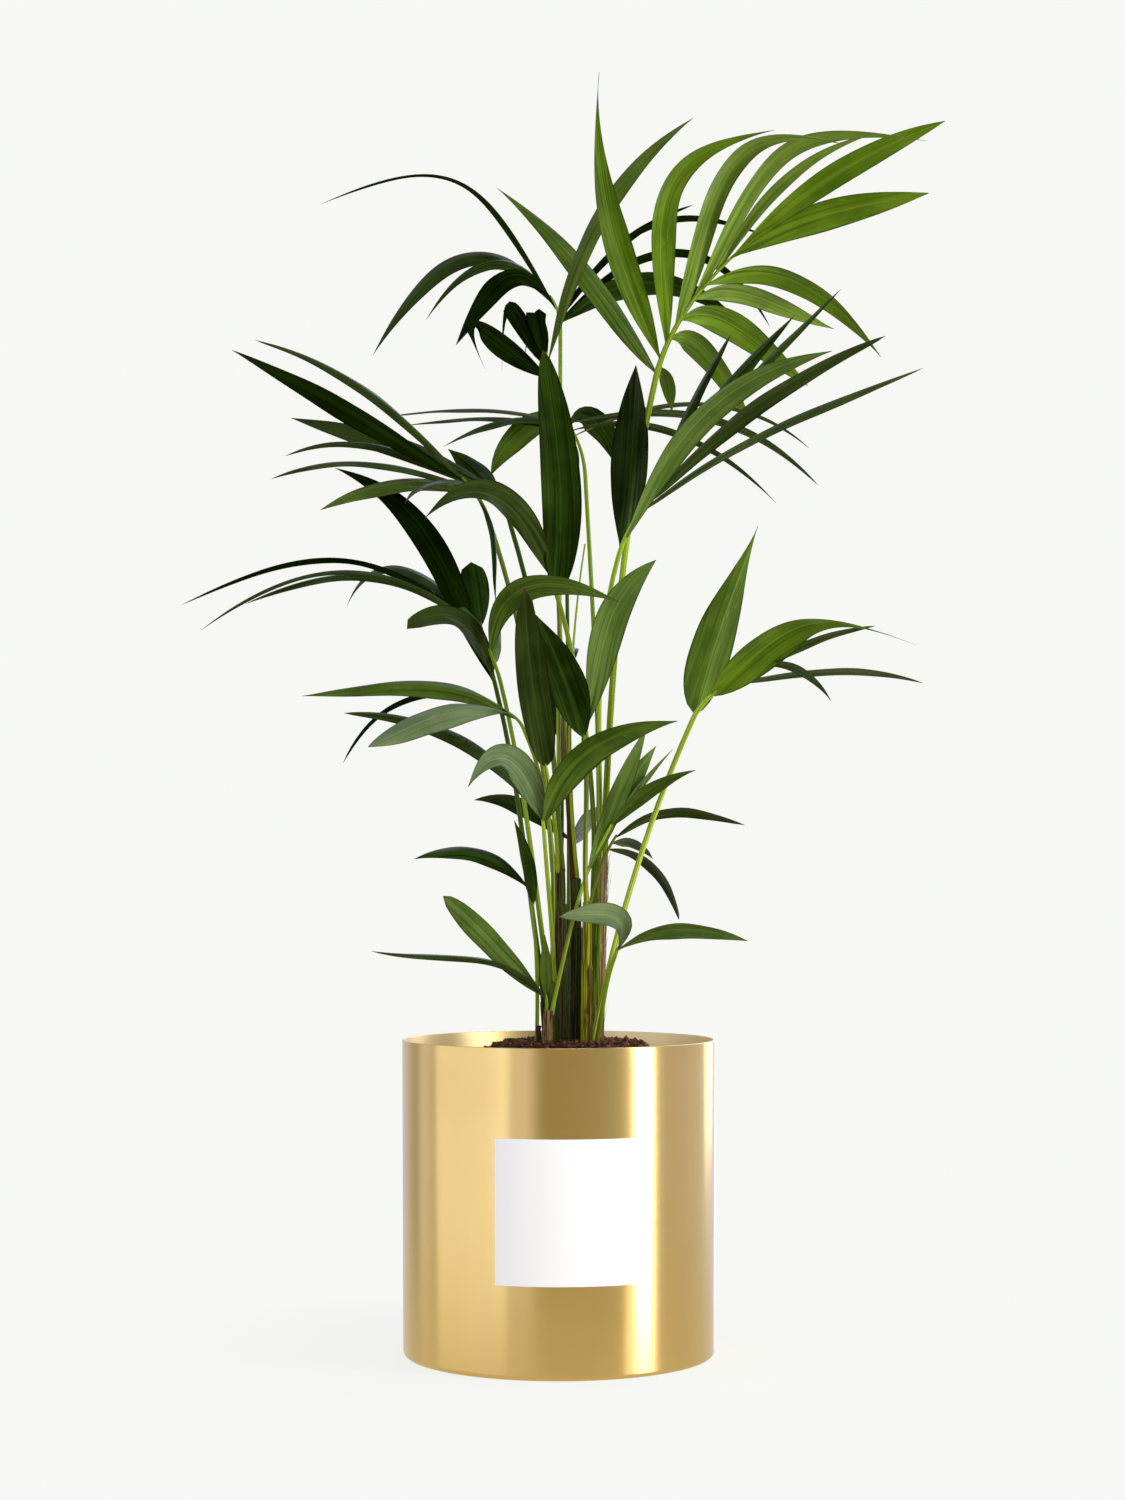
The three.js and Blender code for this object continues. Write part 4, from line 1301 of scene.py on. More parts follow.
@dataclass
class Compost:
    """The bark and peat mix: a mounded bed and the loose crumbs and chips on it, in metres.

    `profile` is the mound's rings, each its radius and its height, `crest` its top and `drift` how far that
    has moved to the right. `crumb_size` is the middle and the spread of the crumbs' sizes, `chip_size` the
    smallest and the largest chip in millimetres, and `sunk` how deep and how high they lie, as shares of
    their size.
    """

    pot: Pot
    bottom: float = 0.0033
    wall_height: float = 0.283
    profile: tuple[Pair, ...] = (
        (0.138, 0.2845), (0.122, 0.287), (0.108, 0.290), (0.088, 0.2975), (0.070, 0.3062), (0.056, 0.3078),
        (0.024, 0.3082))
    crest: float = 0.3084
    drift: float = 0.013
    clearance: float = 0.0003
    hem: float = 0.003
    sides: int = 72
    clod: float = 0.012
    clod_depth: float = 0.006
    crumbs: int = 7000
    chips: int = 420
    margin: float = 0.004
    crumb_size: Pair = (0.25, 0.45)
    chip_size: Pair = (2.5, 6.5)
    chip_shape: Point = (1.0, 0.45, 0.22)
    uneven: float = 0.3
    tilt: float = 0.45
    sunk: Pair = (-0.1, 0.35)
    mix: CompostFinish = CompostFinish("compost", (82, 46, 24), (36, 18, 9))
    tones: tuple[CompostFinish, ...] = (
        CompostFinish("crumb_dark", (62, 32, 16), (28, 13, 6)),
        CompostFinish("crumb_brown", (108, 60, 30), (54, 28, 13)),
        CompostFinish("crumb_tan", (142, 92, 56), (84, 48, 25)),
    )

    def level(self, radius: float) -> float:
        """Gives the bed's height at a distance from the axis.

        Args:
            radius: The distance.

        Returns:
            The height.
        """
        edge = self.pot.radius(self.wall_height) - self.hem
        rings = [(0, self.crest), *reversed(self.profile), (edge, self.wall_height)]
        return float(np.interp(radius, *zip(*rings)))

    def shift(self, height: float) -> float:
        """Gives how far the mound has moved to the right at a height."""
        return self.drift * (height - self.wall_height) / (self.crest - self.wall_height)

    def build(self) -> None:
        """Builds the bed and what lies on it."""
        self.bed()
        self.litter()

    def bed(self) -> None:
        """Raises a cylinder's top into a mound by insets and roughens it."""
        depth = self.wall_height - self.bottom
        outer = self.pot.radius(self.wall_height) - self.pot.wall - self.clearance
        narrow = (self.pot.foot - self.pot.wall - self.pot.edge) / outer
        piece = begin(bpy.ops.mesh.primitive_cylinder_add, vertices=self.sides, radius=outer, depth=depth,
                      location=(0, 0, self.bottom + depth / 2))
        with editing():
            pick(Kind.VERTICES, lambda p: p.z < self.bottom + SLIGHT)
            bpy.ops.transform.resize(value=(narrow, narrow, 1), center_override=(0, 0, self.bottom))
            pick_top()
            radius, height = outer, self.wall_height
            for ring, level in self.profile:
                bpy.ops.mesh.inset(thickness=radius - ring, depth=0)
                move = self.shift(level) - self.shift(height)
                bpy.ops.transform.translate(value=(move, 0, level - height))
                radius, height = ring, level
            bpy.ops.mesh.poke()
        apply_modifier(piece, "SUBSURF", levels=2, render_levels=2, subdivision_type="SIMPLE")
        top = piece.vertex_groups.new(name="top")
        top.add([v.index for v in piece.data.vertices if v.co.z > self.wall_height + MM], 1.0, "REPLACE")
        roughen(piece, "clods", self.clod, self.clod_depth, 0.6, "top")
        settle(piece, "compost_bed", [self.mix.material()], 60)
        hand_over(piece, "soil_mix", "soil")

    def litter(self) -> None:
        """Scatters faceted crumbs and flat bark chips over the bed, in three tones."""
        dice = np.random.default_rng(SEED)
        octahedron = np.array([(1, 0, 0), (-1, 0, 0), (0, 1, 0), (0, -1, 0), (0, 0, 1), (0, 0, -1)], float)
        sides = np.array([
            (0, 2, 4), (2, 1, 4), (1, 3, 4), (3, 0, 4), (2, 0, 5), (1, 2, 5), (3, 1, 5), (0, 3, 5)])
        crumbs = Joined()
        reach = self.pot.radius(self.wall_height) - self.pot.wall - self.margin
        for number in range(self.crumbs + self.chips):
            is_chip = number >= self.crumbs
            radius = reach * math.sqrt(dice.random())
            angle = dice.uniform(0, math.tau)
            size = dice.uniform(*self.chip_size) if is_chip else dice.lognormal(*self.crumb_size)
            shape = octahedron * (1 + dice.uniform(-self.uneven, self.uneven, octahedron.shape)) * size
            if is_chip:
                shape = shape * self.chip_shape
            turn, tilt = dice.uniform(0, math.tau), dice.normal(0, self.tilt)
            spin = np.array([
                (math.cos(turn), -math.sin(turn), 0), (math.sin(turn), math.cos(turn), 0), (0, 0, 1)])
            lean = np.array([
                (1, 0, 0), (0, math.cos(tilt), -math.sin(tilt)), (0, math.sin(tilt), math.cos(tilt))])
            height = self.level(radius)
            across = radius * math.cos(angle) + self.shift(height)
            height += size * MM * dice.uniform(*self.sunk)
            middle = np.array([across, radius * math.sin(angle), height]) / MM
            tone = int(dice.integers(0, len(self.tones)))
            crumbs.add(shape @ (spin @ lean).T + middle, (sides,), tone)
        tones = [tone.material() for tone in self.tones]
        hand_over(crumbs.mesh("compost_crumbs", tones, 25), "soil_mix", "soil")


# ---- Stems ----


@dataclass
class Cane:
    """One stem with the sheaths that wrap it and the hairs of the dry ones, in millimetres.

    `sunk` is how deep the core and the sheaths reach into the soil. `shoulder` is how far the core's top
    draws in and rises. `knots` and `creases` are the lumps of the core and of the sheaths, each their size
    and their depth in metres. `layer` is what each sheath adds, and `play` the innermost one's room.
    `uncovered` is the share of a sheath that the stem's top leaves bare. `hair_top` is how far below the top
    the last hair starts, and how far above it a hair may end.
    """

    stem: Stem
    sides: int = 28
    rings: int = 9
    sunk: Pair = (4, 3)
    shoulder: Pair = (1.4, 1.5)
    knots: Pair = (0.02, 0.0012)
    creases: Pair = (0.014, 0.0009)
    layer: float = 0.35
    play: float = 0.25
    uncovered: float = 0.6
    sheath_wall: float = 0.5
    sheath_turn: float = 137.5
    mouth_slope: float = 0.62
    mouth_depth: float = 1.5
    hair_steps: int = 6
    hair_spread: float = 42
    hair_length: Pair = (14, 44)
    hair_radius: Pair = (0.14, 0.3)
    hair_taper: float = 0.8
    hair_lean: Pair = (0.02, 0.16)
    hair_swing: float = 1.5
    hair_wave: float = 0.05
    hair_top: Pair = (20, 8)
    hair_gap: float = 0.3

    def share(self, height: float) -> float:
        """Gives how far up the stem a height is, from 0 on the soil to 1 at its top."""
        return (height - SOIL_TOP) / (self.stem.height - SOIL_TOP)

    def middle(self, height: float) -> np.ndarray:
        """Gives the middle of the stem at a height."""
        foot, top = np.array([*self.stem.foot, SOIL_TOP]), np.array([*self.stem.top, self.stem.height])
        return foot + (top - foot) * self.share(height)

    def radius(self, height: float) -> float:
        """Gives the stem's radius at a height."""
        return self.stem.radii[0] + (self.stem.radii[1] - self.stem.radii[0]) * self.share(height)

    def tube(self, bottom: float, top: float, thicker: float, is_solid: bool) -> Object:
        """Draws a circle up along the stem, step by step.

        Args:
            bottom: The height that it starts at.
            top: The height that it ends at.
            thicker: How much wider it is than the stem.
            is_solid: Whether both ends are closed.

        Returns:
            The tube.
        """
        start = self.middle(bottom)
        radius = self.radius(bottom) + thicker
        piece = begin(bpy.ops.mesh.primitive_circle_add, vertices=self.sides, radius=radius * MM,
                      location=tuple(start * MM), fill_type="NGON" if is_solid else "NOTHING")
        with editing():
            bpy.ops.mesh.select_mode(type="FACE" if is_solid else "EDGE")
            pick_all()
            for height in np.linspace(bottom, top, self.rings)[1:]:
                end = self.middle(height)
                wider = (self.radius(height) + thicker) / radius
                bpy.ops.mesh.extrude_region_move(TRANSFORM_OT_translate={"value": tuple((end - start) * MM)})
                bpy.ops.transform.resize(value=(wider, wider, 1), center_override=tuple(end * MM))
                start, radius = end, radius * wider
            if is_solid:
                bpy.ops.mesh.inset(thickness=self.shoulder[0] * MM)
                bpy.ops.transform.translate(value=(0, 0, self.shoulder[1] * MM))
            pick_all()
            bpy.ops.mesh.normals_make_consistent(inside=False)
        return piece

    def build(self) -> None:
        """Builds the stem, its sheaths and its hairs."""
        stem = self.stem
        core = self.tube(SOIL_TOP - self.sunk[0], stem.height, 0, True)
        roughen(core, "cane_" + stem.name, *self.knots)
        middle = tuple(float(v) * MM for v in self.middle((SOIL_TOP + stem.height) / 2)[:2])
        bark = CaneFinish(
            stem.name, stem.fresh, stem.dried, stem.dry, stem.dry_side, middle, stem.radii[0] * MM).material()
        settle(core, "cane_" + stem.name, [bark], 50)
        hand_over(core, "stem_sheath", "stem_" + stem.name)
        for order in range(stem.sheaths):
            self.sheath(order, bark)
        if stem.hairs:
            self.hairs()

    def sheath(self, order: int, bark: Material) -> None:
        """Wraps one sheath round the stem's foot and cuts its mouth on the slant.

        Args:
            order: 0 for the outermost, shortest sheath.
            bark: The stem's own finish.
        """
        stem = self.stem
        top = SOIL_TOP + (stem.height - SOIL_TOP) * ((order + 1) / (stem.sheaths + self.uncovered))
        thicker = self.layer * (stem.sheaths - order) + self.play
        piece = self.tube(SOIL_TOP - self.sunk[1], top, thicker, False)
        turn = math.radians(stem.dry_side + self.sheath_turn * order)
        slope = self.mouth_slope
        mouth = self.middle(top - self.mouth_depth * stem.radii[0]) * MM
        facing = (slope * math.cos(turn), slope * math.sin(turn), math.sqrt(1 - slope * slope))
        with editing():
            pick_all()
            bpy.ops.mesh.bisect(plane_co=tuple(mouth), plane_no=facing, clear_outer=True)
        apply_modifier(piece, "SOLIDIFY", thickness=self.sheath_wall * MM, offset=-1.0)
        roughen(piece, f"sheath_{stem.name}_{order}", *self.creases)
        settle(piece, f"sheath_{stem.name}_{order + 1}", [bark], 50)
        hand_over(piece, "stem_fibre" if order == 0 else "stem_sheath", "stem_" + stem.name)

    def hairs(self) -> None:
        """Frays the dry side with fine strands that part from the stem towards their ends."""
        stem, steps = self.stem, self.hair_steps
        dice = np.random.default_rng(SEED + len(stem.name))
        side = np.array([(0, 1, 4, 3), (1, 2, 5, 4), (2, 0, 3, 5)])
        wall = np.concatenate([side + 3 * step for step in range(steps)])
        ends = np.array([(2, 1, 0), (3 * steps, 3 * steps + 1, 3 * steps + 2)])
        corners = [np.array([math.cos(a), math.sin(a), 0]) for a in (0, 2.1, 4.2)]
        strands = Joined()
        for _ in range(stem.hairs):
            direction = math.radians(stem.dry_side + dice.normal(0, self.hair_spread))
            low = dice.uniform(SOIL_TOP, stem.height - self.hair_top[0])
            length, thick = dice.uniform(*self.hair_length), dice.uniform(*self.hair_radius)
            lean = dice.uniform(*self.hair_lean)
            rings = []
            for step in range(steps + 1):
                share = step / steps
                height = min(low + length * share, stem.height + self.hair_top[1])
                out = self.radius(height) + self.hair_gap + lean * length * share**2
                swing = direction + dice.normal(0, self.hair_wave) + self.hair_swing * lean * share
                centre = self.middle(height) + out * np.array([math.cos(swing), math.sin(swing), 0])
                width = thick * (1 - self.hair_taper * share)
                rings.append([centre + width * corner for corner in corners])
            strands.add(np.array(rings).reshape(-1, 3), (wall, ends))
        finish = FibreFinish("hair_" + stem.name, (134, 104, 70), (70, 48, 28))
        piece = strands.mesh("hairs_" + stem.name, [finish.material()], 80)
        hand_over(piece, "stem_fibre", "stem_" + stem.name)


@dataclass
class Stub:
    """A dead stalk cut off short, in millimetres."""

    foot: Pair = (-20, -31)
    height: float = 325
    radius: float = 2.6
    sunk: float = 4
    wall: float = 0.7
    hollow: float = 2.5
    finish: FibreFinish = FibreFinish("stub_fibre", (70, 48, 34), (30, 18, 12))

    def build(self) -> None:
        """Stretches a cylinder, hollows its top and roughens it."""
        depth = self.height - SOIL_TOP + self.sunk
        middle = (self.foot[0] * MM, self.foot[1] * MM, (self.height - depth / 2) * MM)
        piece = begin(bpy.ops.mesh.primitive_cylinder_add, vertices=16, radius=self.radius * MM,
                      depth=depth * MM, location=middle)
        with editing():
            pick_top()
            bpy.ops.mesh.inset(thickness=self.wall * MM)
            bpy.ops.transform.translate(value=(0, 0, -self.hollow * MM))
            bpy.ops.mesh.poke()
            pick(Kind.FACES, lambda middle, normal: abs(normal.z) < 0.5)
            bpy.ops.mesh.subdivide(number_cuts=4)
        roughen(piece, "stub", 0.004, 0.0016, 0.6)
        settle(piece, "stub_wood", [self.finish.material()], 40)
        hand_over(piece, "stem_fibre", "stub")


# ---- Fronds ----


@dataclass
class Blade:
    """Makes a leaflet: a thin shell, folded along its midrib, pleated at its root and slightly wavy.

    Sizes are in millimetres. The folds, the curl, the pleats and the waves are shares of half its width,
    a reach is a share of its length, and a wave is its height, how often it comes and its power across.
    `blunt` is how fast it thickens from its ends, and `margins` are those round its unwrapped sides.
    """

    across: int = 13
    finest: float = 7.5
    rows: tuple[int, int] = (16, 44)
    stations: int = 60
    root_width: float = 2.2
    least_half: float = 0.25
    thickness: float = 0.7
    blunt: float = 12
    sway: float = 7
    fold: float = 0.16
    root_fold: float = 0.55
    fold_reach: float = 0.14
    curl: float = 0.10
    pleat: float = 0.35
    pleat_reach: float = 0.3
    pleated_half: float = 8
    waves: tuple[Point, ...] = ((0.045, 1.7, 3), (0.03, 2.9, 2))
    margins: Pair = (0.06, 0.01)

    def outline(self, s: np.ndarray, shape: Shape) -> np.ndarray:
        """Gives a leaflet's width along its length.

        Args:
            s: Places along it, from 0 to 1.
            shape: Its outline.

        Returns:
            The width at each, 1 at its widest.
        """
        widest, tipward = shape.value
        rootward = tipward * widest / (1 - widest)
        return (s / widest) ** rootward * ((1 - s) / (1 - widest)) ** tipward

    def quads(self, index: np.ndarray) -> np.ndarray:
        """Gives the four-sided faces of a grid of vertex numbers."""
        return np.stack([index[:-1, :-1], index[1:, :-1], index[1:, 1:], index[:-1, 1:]], -1).reshape(-1, 4)

    def sides(self, over: np.ndarray, under: np.ndarray) -> np.ndarray:
        """Lists a grid of rows over the leaflet and, within its margin, one under it."""
        return np.concatenate([over.reshape(-1, 3), under[1:-1, 1:-1].reshape(-1, 3)])

    def axes(self, leaf: Leaf, tangent: np.ndarray, s: np.ndarray,
             dice: np.random.Generator) -> tuple[np.ndarray, np.ndarray]:
        """Works out which way the leaflet lies at each row.

        Args:
            leaf: The leaflet.
            tangent: Its direction at each row.
            s: How far along it each row is, from 0 to 1.
            dice: The source of its small irregularities.

        Returns:
            The directions across it and through it.
        """
        side = np.cross(tangent, UP if leaf.arch > 0 else DEPTH)
        side /= np.linalg.norm(side, axis=1)[:, None]
        front = np.cross(tangent, side)
        turn = np.radians(leaf.face + (leaf.twist + dice.uniform(-self.sway, self.sway)) * s)[:, None]
        return side * np.cos(turn) + front * np.sin(turn), front * np.cos(turn) - side * np.sin(turn)

    def section(self, half: np.ndarray, s: np.ndarray, u: np.ndarray, is_up: bool,
                dice: np.random.Generator) -> tuple[np.ndarray, np.ndarray]:
        """Folds, pleats and waves the leaflet.

        Args:
            half: Half its width at each row.
            s: How far along it each row is, from 0 to 1.
            u: The places across it, from -1 to 1.
            is_up: Whether the direction through it points up.
            dice: The source of its small irregularities.

        Returns:
            How far each place lies across it and through it.
        """
        slope = self.fold + (self.root_fold - self.fold) * np.exp(-s / self.fold_reach)[:, None]
        phase = dice.uniform(0, math.tau, 3)
        pleats = self.pleat * np.exp(-s / self.pleat_reach)[:, None] * np.cos(3 * math.pi * u[None, :])
        waves = sum(
            height * np.sin(math.tau * often * s + start)[:, None] * u[None, :] ** power
            for (height, often, power), start in zip(self.waves, phase))
        rise = -slope * half * np.abs(u)[None, :] - self.curl * half * (u**2)[None, :]
        rise = rise + pleats * np.minimum(1, half / self.pleated_half)
        return half * np.cos(np.arctan(slope)) * u[None, :], (1 if is_up else -1) * rise + waves * half

    def add(self, leaf: Leaf, rib: Bezier, sheet: Joined, finish: int, strip: tuple[int, int],
            dice: np.random.Generator) -> None:
        """Adds one leaflet to a frond's mesh.

        Args:
            leaf: The leaflet.
            rib: The rib that it grows on.
            sheet: The frond's mesh.
            finish: The number of the leaflet's material.
            strip: The leaflet's number on the frond, and how many leaflets there are.
            dice: The source of its small irregularities.
        """
        curve = leaf.curve(rib)
        stations = np.linspace(0, 1, self.stations)
        distance = travelled(curve.at(stations))
        rows = int(np.clip(distance[-1] / self.finest, *self.rows))
        s, u = np.linspace(0, 1, rows), np.linspace(-1, 1, self.across)
        wide, through = self.axes(leaf, curve.tangent(s), s, dice)
        half = np.maximum(self.root_width * (1 - s), leaf.width * self.outline(s, leaf.shape))[:, None] / 2
        half = np.maximum(half, self.least_half)
        is_up = through[: rows * 2 // 3, 2].mean() >= 0
        narrowed, rise = self.section(half, s, u, is_up, dice)
        wide, through = wide[:, None, :], through[:, None, :]
        skin = curve.at(s)[:, None, :] + wide * narrowed[..., None] + through * rise[..., None]
        thick = np.sqrt(np.clip(1 - u**2, 0, 1))[None, :] * np.minimum(1, self.blunt * s * (1 - s))[:, None]
        wall = (self.thickness / 2 * thick)[..., None] * through
        over = np.arange(rows * self.across).reshape(rows, self.across)
        under = over.copy()
        under[1:-1, 1:-1] = over.size + np.arange((rows - 2) * (self.across - 2)).reshape(rows - 2, -1)
        chance = dice.random()
        along = np.interp(s, stations, distance)[:, None] * MM
        place = np.stack(np.broadcast_arrays(u[None, :], s[:, None], chance), axis=-1)
        grain = np.stack(
            np.broadcast_arrays(narrowed * MM, along, PATTERN_SHIFT * chance + strip[0]), axis=-1)
        sheet.add(
            self.sides(skin + wall, skin - wall), (self.quads(over), self.quads(under)[:, ::-1]), finish,
            place=self.sides(place, place), grain=self.sides(grain, grain), bake=self.bake(over, s, u, strip))

    def bake(self, over: np.ndarray, s: np.ndarray, u: np.ndarray, strip: tuple[int, int]) -> np.ndarray:
        """Unwraps the leaflet's two sides onto two strips of the frond's sheet.

        Args:
            over: The vertex numbers of its upper side.
            s: How far along it each row is, from 0 to 1.
            u: The places across it, from -1 to 1.
            strip: The leaflet's number on the frond, and how many leaflets there are.

        Returns:
            Two values for each face corner.
        """
        beside, below = self.margins
        quads = self.quads(over)
        sheets = []
        for layer, faces in enumerate((quads, quads[:, ::-1])):
            left = 2 * strip[0] + layer + beside + (0.5 - beside) * (u[faces % self.across] + 1)
            up = below + (1 - 2 * below) * s[faces // self.across]
            sheets.append(np.stack([left / (2 * strip[1]), up], axis=-1))
        return np.concatenate(sheets).reshape(-1, 2)


@dataclass
class Petioles:
    """Makes the stalks: a grooved section drawn along the stalk's line and on up the rib."""

    groove: float = 0.7
    section: int = 5
    steps: int = 14
    stations: int = 80
    foot_swelling: float = 1.3
    swollen: float = 0.1

    def profile(self) -> Object:
        """Draws the section, a circle of 1 mm radius with one side pushed in.

        Returns:
            The section's outline.
        """
        deselect()
        bpy.ops.curve.primitive_bezier_circle_add(radius=MM)
        outline = bpy.context.object
        outline.name = "section"
        outline.data.splines[0].resolution_u = self.section
        dented = outline.data.splines[0].bezier_points[0]
        shift = dented.co * (self.groove - 1)
        dented.handle_left += shift
        dented.handle_right += shift
        dented.co += shift
        return outline

    def draw(self, name: str, path: list[tuple[Bezier, float, float]], section: Object,
             material: Material, chance: float) -> Object:
        """Draws one stalk.

        Args:
            name: The piece's name.
            path: Its stretches in order, each with its radius at both ends, in millimetres.
            section: The section's outline.
            material: Its finish.
            chance: A number from 0 to 1 that makes its pattern its own.

        Returns:
            The stalk as a mesh.
        """
        deselect()
        bpy.ops.curve.primitive_bezier_curve_add()
        piece = bpy.context.object
        curve = piece.data
        curve.dimensions = "3D"
        curve.twist_mode = "MINIMUM"
        curve.bevel_mode = "OBJECT"
        curve.bevel_object = section
        curve.use_fill_caps = True
        line = curve.splines[0]
        line.resolution_u = self.steps
        line.bezier_points.add(len(path) - 1)
        for point in line.bezier_points:
            point.handle_left_type = point.handle_right_type = "FREE"
        for number, (stretch, first, last) in enumerate(path):
            here, there = line.bezier_points[number], line.bezier_points[number + 1]
            here.co, there.co = stretch.start * MM, stretch.end * MM
            here.handle_right, there.handle_left = stretch.out * MM, stretch.back * MM
            here.radius, there.radius = first, last
        line.bezier_points[0].handle_left = (2 * path[0][0].start - path[0][0].out) * MM
        line.bezier_points[-1].handle_right = (2 * path[-1][0].end - path[-1][0].back) * MM
        activate(piece)
        bpy.ops.object.convert(target="MESH")
        piece = bpy.context.object
        piece.location = (0, 0, 0)
        self.measure(piece, [stretch for stretch, _, _ in path], chance)
        settle(piece, name, [material], 40)
        return piece

    def measure(self, piece: Object, path: list[Bezier], chance: float) -> None:
        """Writes where each vertex lies round and along the stalk, for its finish.

        Args:
            piece: The stalk.
            path: Its stretches.
            chance: A number of its own.
        """
        count = len(piece.data.vertices)
        co = np.empty(count * 3)
        piece.data.vertices.foreach_get("co", co)
        co = co.reshape(-1, 3) / MM
        stations = np.linspace(0, 1, self.stations)
        line = np.concatenate([stretch.at(stations) for stretch in path])
        ahead = np.concatenate([stretch.tangent(stations) for stretch in path])
        distance = travelled(line)
        nearest = np.argmin(((co[:, None, :] - line[None, :, :]) ** 2).sum(-1), axis=1)
        away = co - line[nearest]
        side = np.cross(ahead[nearest], DEPTH)
        side /= np.linalg.norm(side, axis=1)[:, None]
        front = np.cross(ahead[nearest], side)
        angle = np.arctan2((away * front).sum(1), (away * side).sum(1))
        along = distance[nearest]
        place = np.stack([angle / math.pi, along / distance[-1], np.full(count, chance)], axis=-1)
        grain = np.stack([np.cos(angle), np.sin(angle), along * MM + PATTERN_SHIFT * chance], axis=-1)
        carry(piece.data, "place", place)
        carry(piece.data, "grain", grain)


@dataclass
class Crown:
    """All the fronds and the young spear."""

    blade: Blade = field(default_factory=Blade)
    petioles: Petioles = field(default_factory=Petioles)
    spear_on: Footing = ("slim", 300)
    spear_tip: Point = (26, 807, -30)
    spear_lean: Pair = (-6, 9)
    spear_radii: Pair = (2.2, 0.8)
    sunk: float = 3

    def foot(self, on: Footing, radius: float) -> np.ndarray:
        """Finds where a stalk stands.

        Args:
            on: A stem and a direction, or a place on the soil.
            radius: The stalk's radius.

        Returns:
            The middle of its foot.
        """
        if not isinstance(on[0], str):
            return np.array([*on, SOIL_TOP])
        stem = next(each for each in STEMS if each.name == on[0])
        from_middle = 0 if stem.name == "front" else stem.radii[1] - radius - CLEARANCE
        angle = math.radians(on[1])
        return np.array([
            stem.top[0] + from_middle * math.cos(angle),
            stem.top[1] + from_middle * math.sin(angle),
            stem.height + CLEARANCE,
        ])

    def stalk(self, foot: np.ndarray, neck: np.ndarray, lean: tuple[float, ...]) -> Bezier:
        """Works out a stalk's line: it leans out slowly at first, and faster above.

        Args:
            foot: Its foot.
            neck: Its neck.
            lean: How far it leans at both.

        Returns:
            The line.
        """
        third = (neck[2] - foot[2]) / 3
        depth = neck[1] - foot[1]
        low = np.array([third * math.tan(math.radians(lean[0])), depth / 6, third])
        high = np.array([third * math.tan(math.radians(lean[1])), depth / 2, third])
        return Bezier(foot, foot + low, neck - high, neck)

    def rib(self, stalk: Bezier, end: np.ndarray, lean: float) -> Bezier:
        """Carries a stalk's line on from its neck.

        Args:
            stalk: The stalk's line.
            end: The rib's end.
            lean: How far the rib leans there.

        Returns:
            The rib's line.
        """
        neck = stalk.end
        third = float(np.linalg.norm(end - neck)) / 3
        turn = math.radians(lean)
        last = np.array([math.sin(turn), (end[1] - neck[1]) / (3 * third), math.cos(turn)])
        last /= np.linalg.norm(last)
        return Bezier(neck, neck + stalk.tangent(1)[0] * third, end - last * third, end)

    def build(self) -> None:
        """Builds every frond, then the spear."""
        section = self.petioles.profile()
        tones = {tone: tone.value.material() for tone in Tone}
        barks = {tone: tone.value.material() for tone in Stalk}
        for number, frond in enumerate(FRONDS):
            dice = np.random.default_rng(SEED + 11 * number)
            rib = self.stand(frond, section, barks[frond.stalk], dice)
            self.dress(frond, rib, tones, dice)
        foot = self.foot(self.spear_on, self.spear_radii[0])
        line = self.stalk(foot, on_elevation(self.spear_tip), self.spear_lean)
        spear = self.petioles.draw("spear_leaf", [(line, *self.spear_radii)], section, barks[Stalk.LIGHT], 0.5)
        hand_over(spear, "petiole", "spear")
        bpy.data.objects.remove(section)

    def stand(self, frond: Frond, section: Object, bark: Material, dice: np.random.Generator) -> Bezier:
        """Builds one frond's stalk.

        Args:
            frond: The frond.
            section: The stalk's section.
            bark: The stalk's material.
            dice: The source of its small irregularities.

        Returns:
            The line of its rib.
        """
        foot, neck = self.foot(frond.on, frond.radii[0]), on_elevation(frond.neck)
        stalk = self.stalk(foot - UP * self.sunk, neck, frond.lean)
        rib = self.rib(self.stalk(foot, neck, frond.lean), on_elevation(frond.end), frond.lean[2])
        low, high = frond.radii
        cut = self.petioles.swollen
        at_cut = low + (high - low) * cut
        path = [
            (stalk.part(0, cut), low * self.petioles.foot_swelling, at_cut),
            (stalk.part(cut, 1), at_cut, high),
            (rib, high, RIB_TIP),
        ]
        piece = self.petioles.draw("stalk_" + frond.name, path, section, bark, dice.random())
        hand_over(piece, "petiole", "petiole_" + frond.name)
        return rib

    def dress(self, frond: Frond, rib: Bezier, tones: dict[Tone, Material],
              dice: np.random.Generator) -> None:
        """Builds one frond's leaflets.

        Args:
            frond: The frond.
            rib: The line of its rib.
            tones: The leaflets' materials.
            dice: The source of its small irregularities.
        """
        sheet = Joined()
        used = sorted({leaf.tone for leaf in frond.leaves}, key=lambda tone: tone.name)
        for order, leaf in enumerate(frond.leaves):
            self.blade.add(leaf, rib, sheet, used.index(leaf.tone), (order, len(frond.leaves)), dice)
        piece = sheet.mesh("leaves_" + frond.name, [tones[tone] for tone in used], 60)
        slot = "leaf_bright" if frond.name == "top_right" else "leaf"
        hand_over(piece, slot, "frond_" + frond.name)


# ---- Studio ----


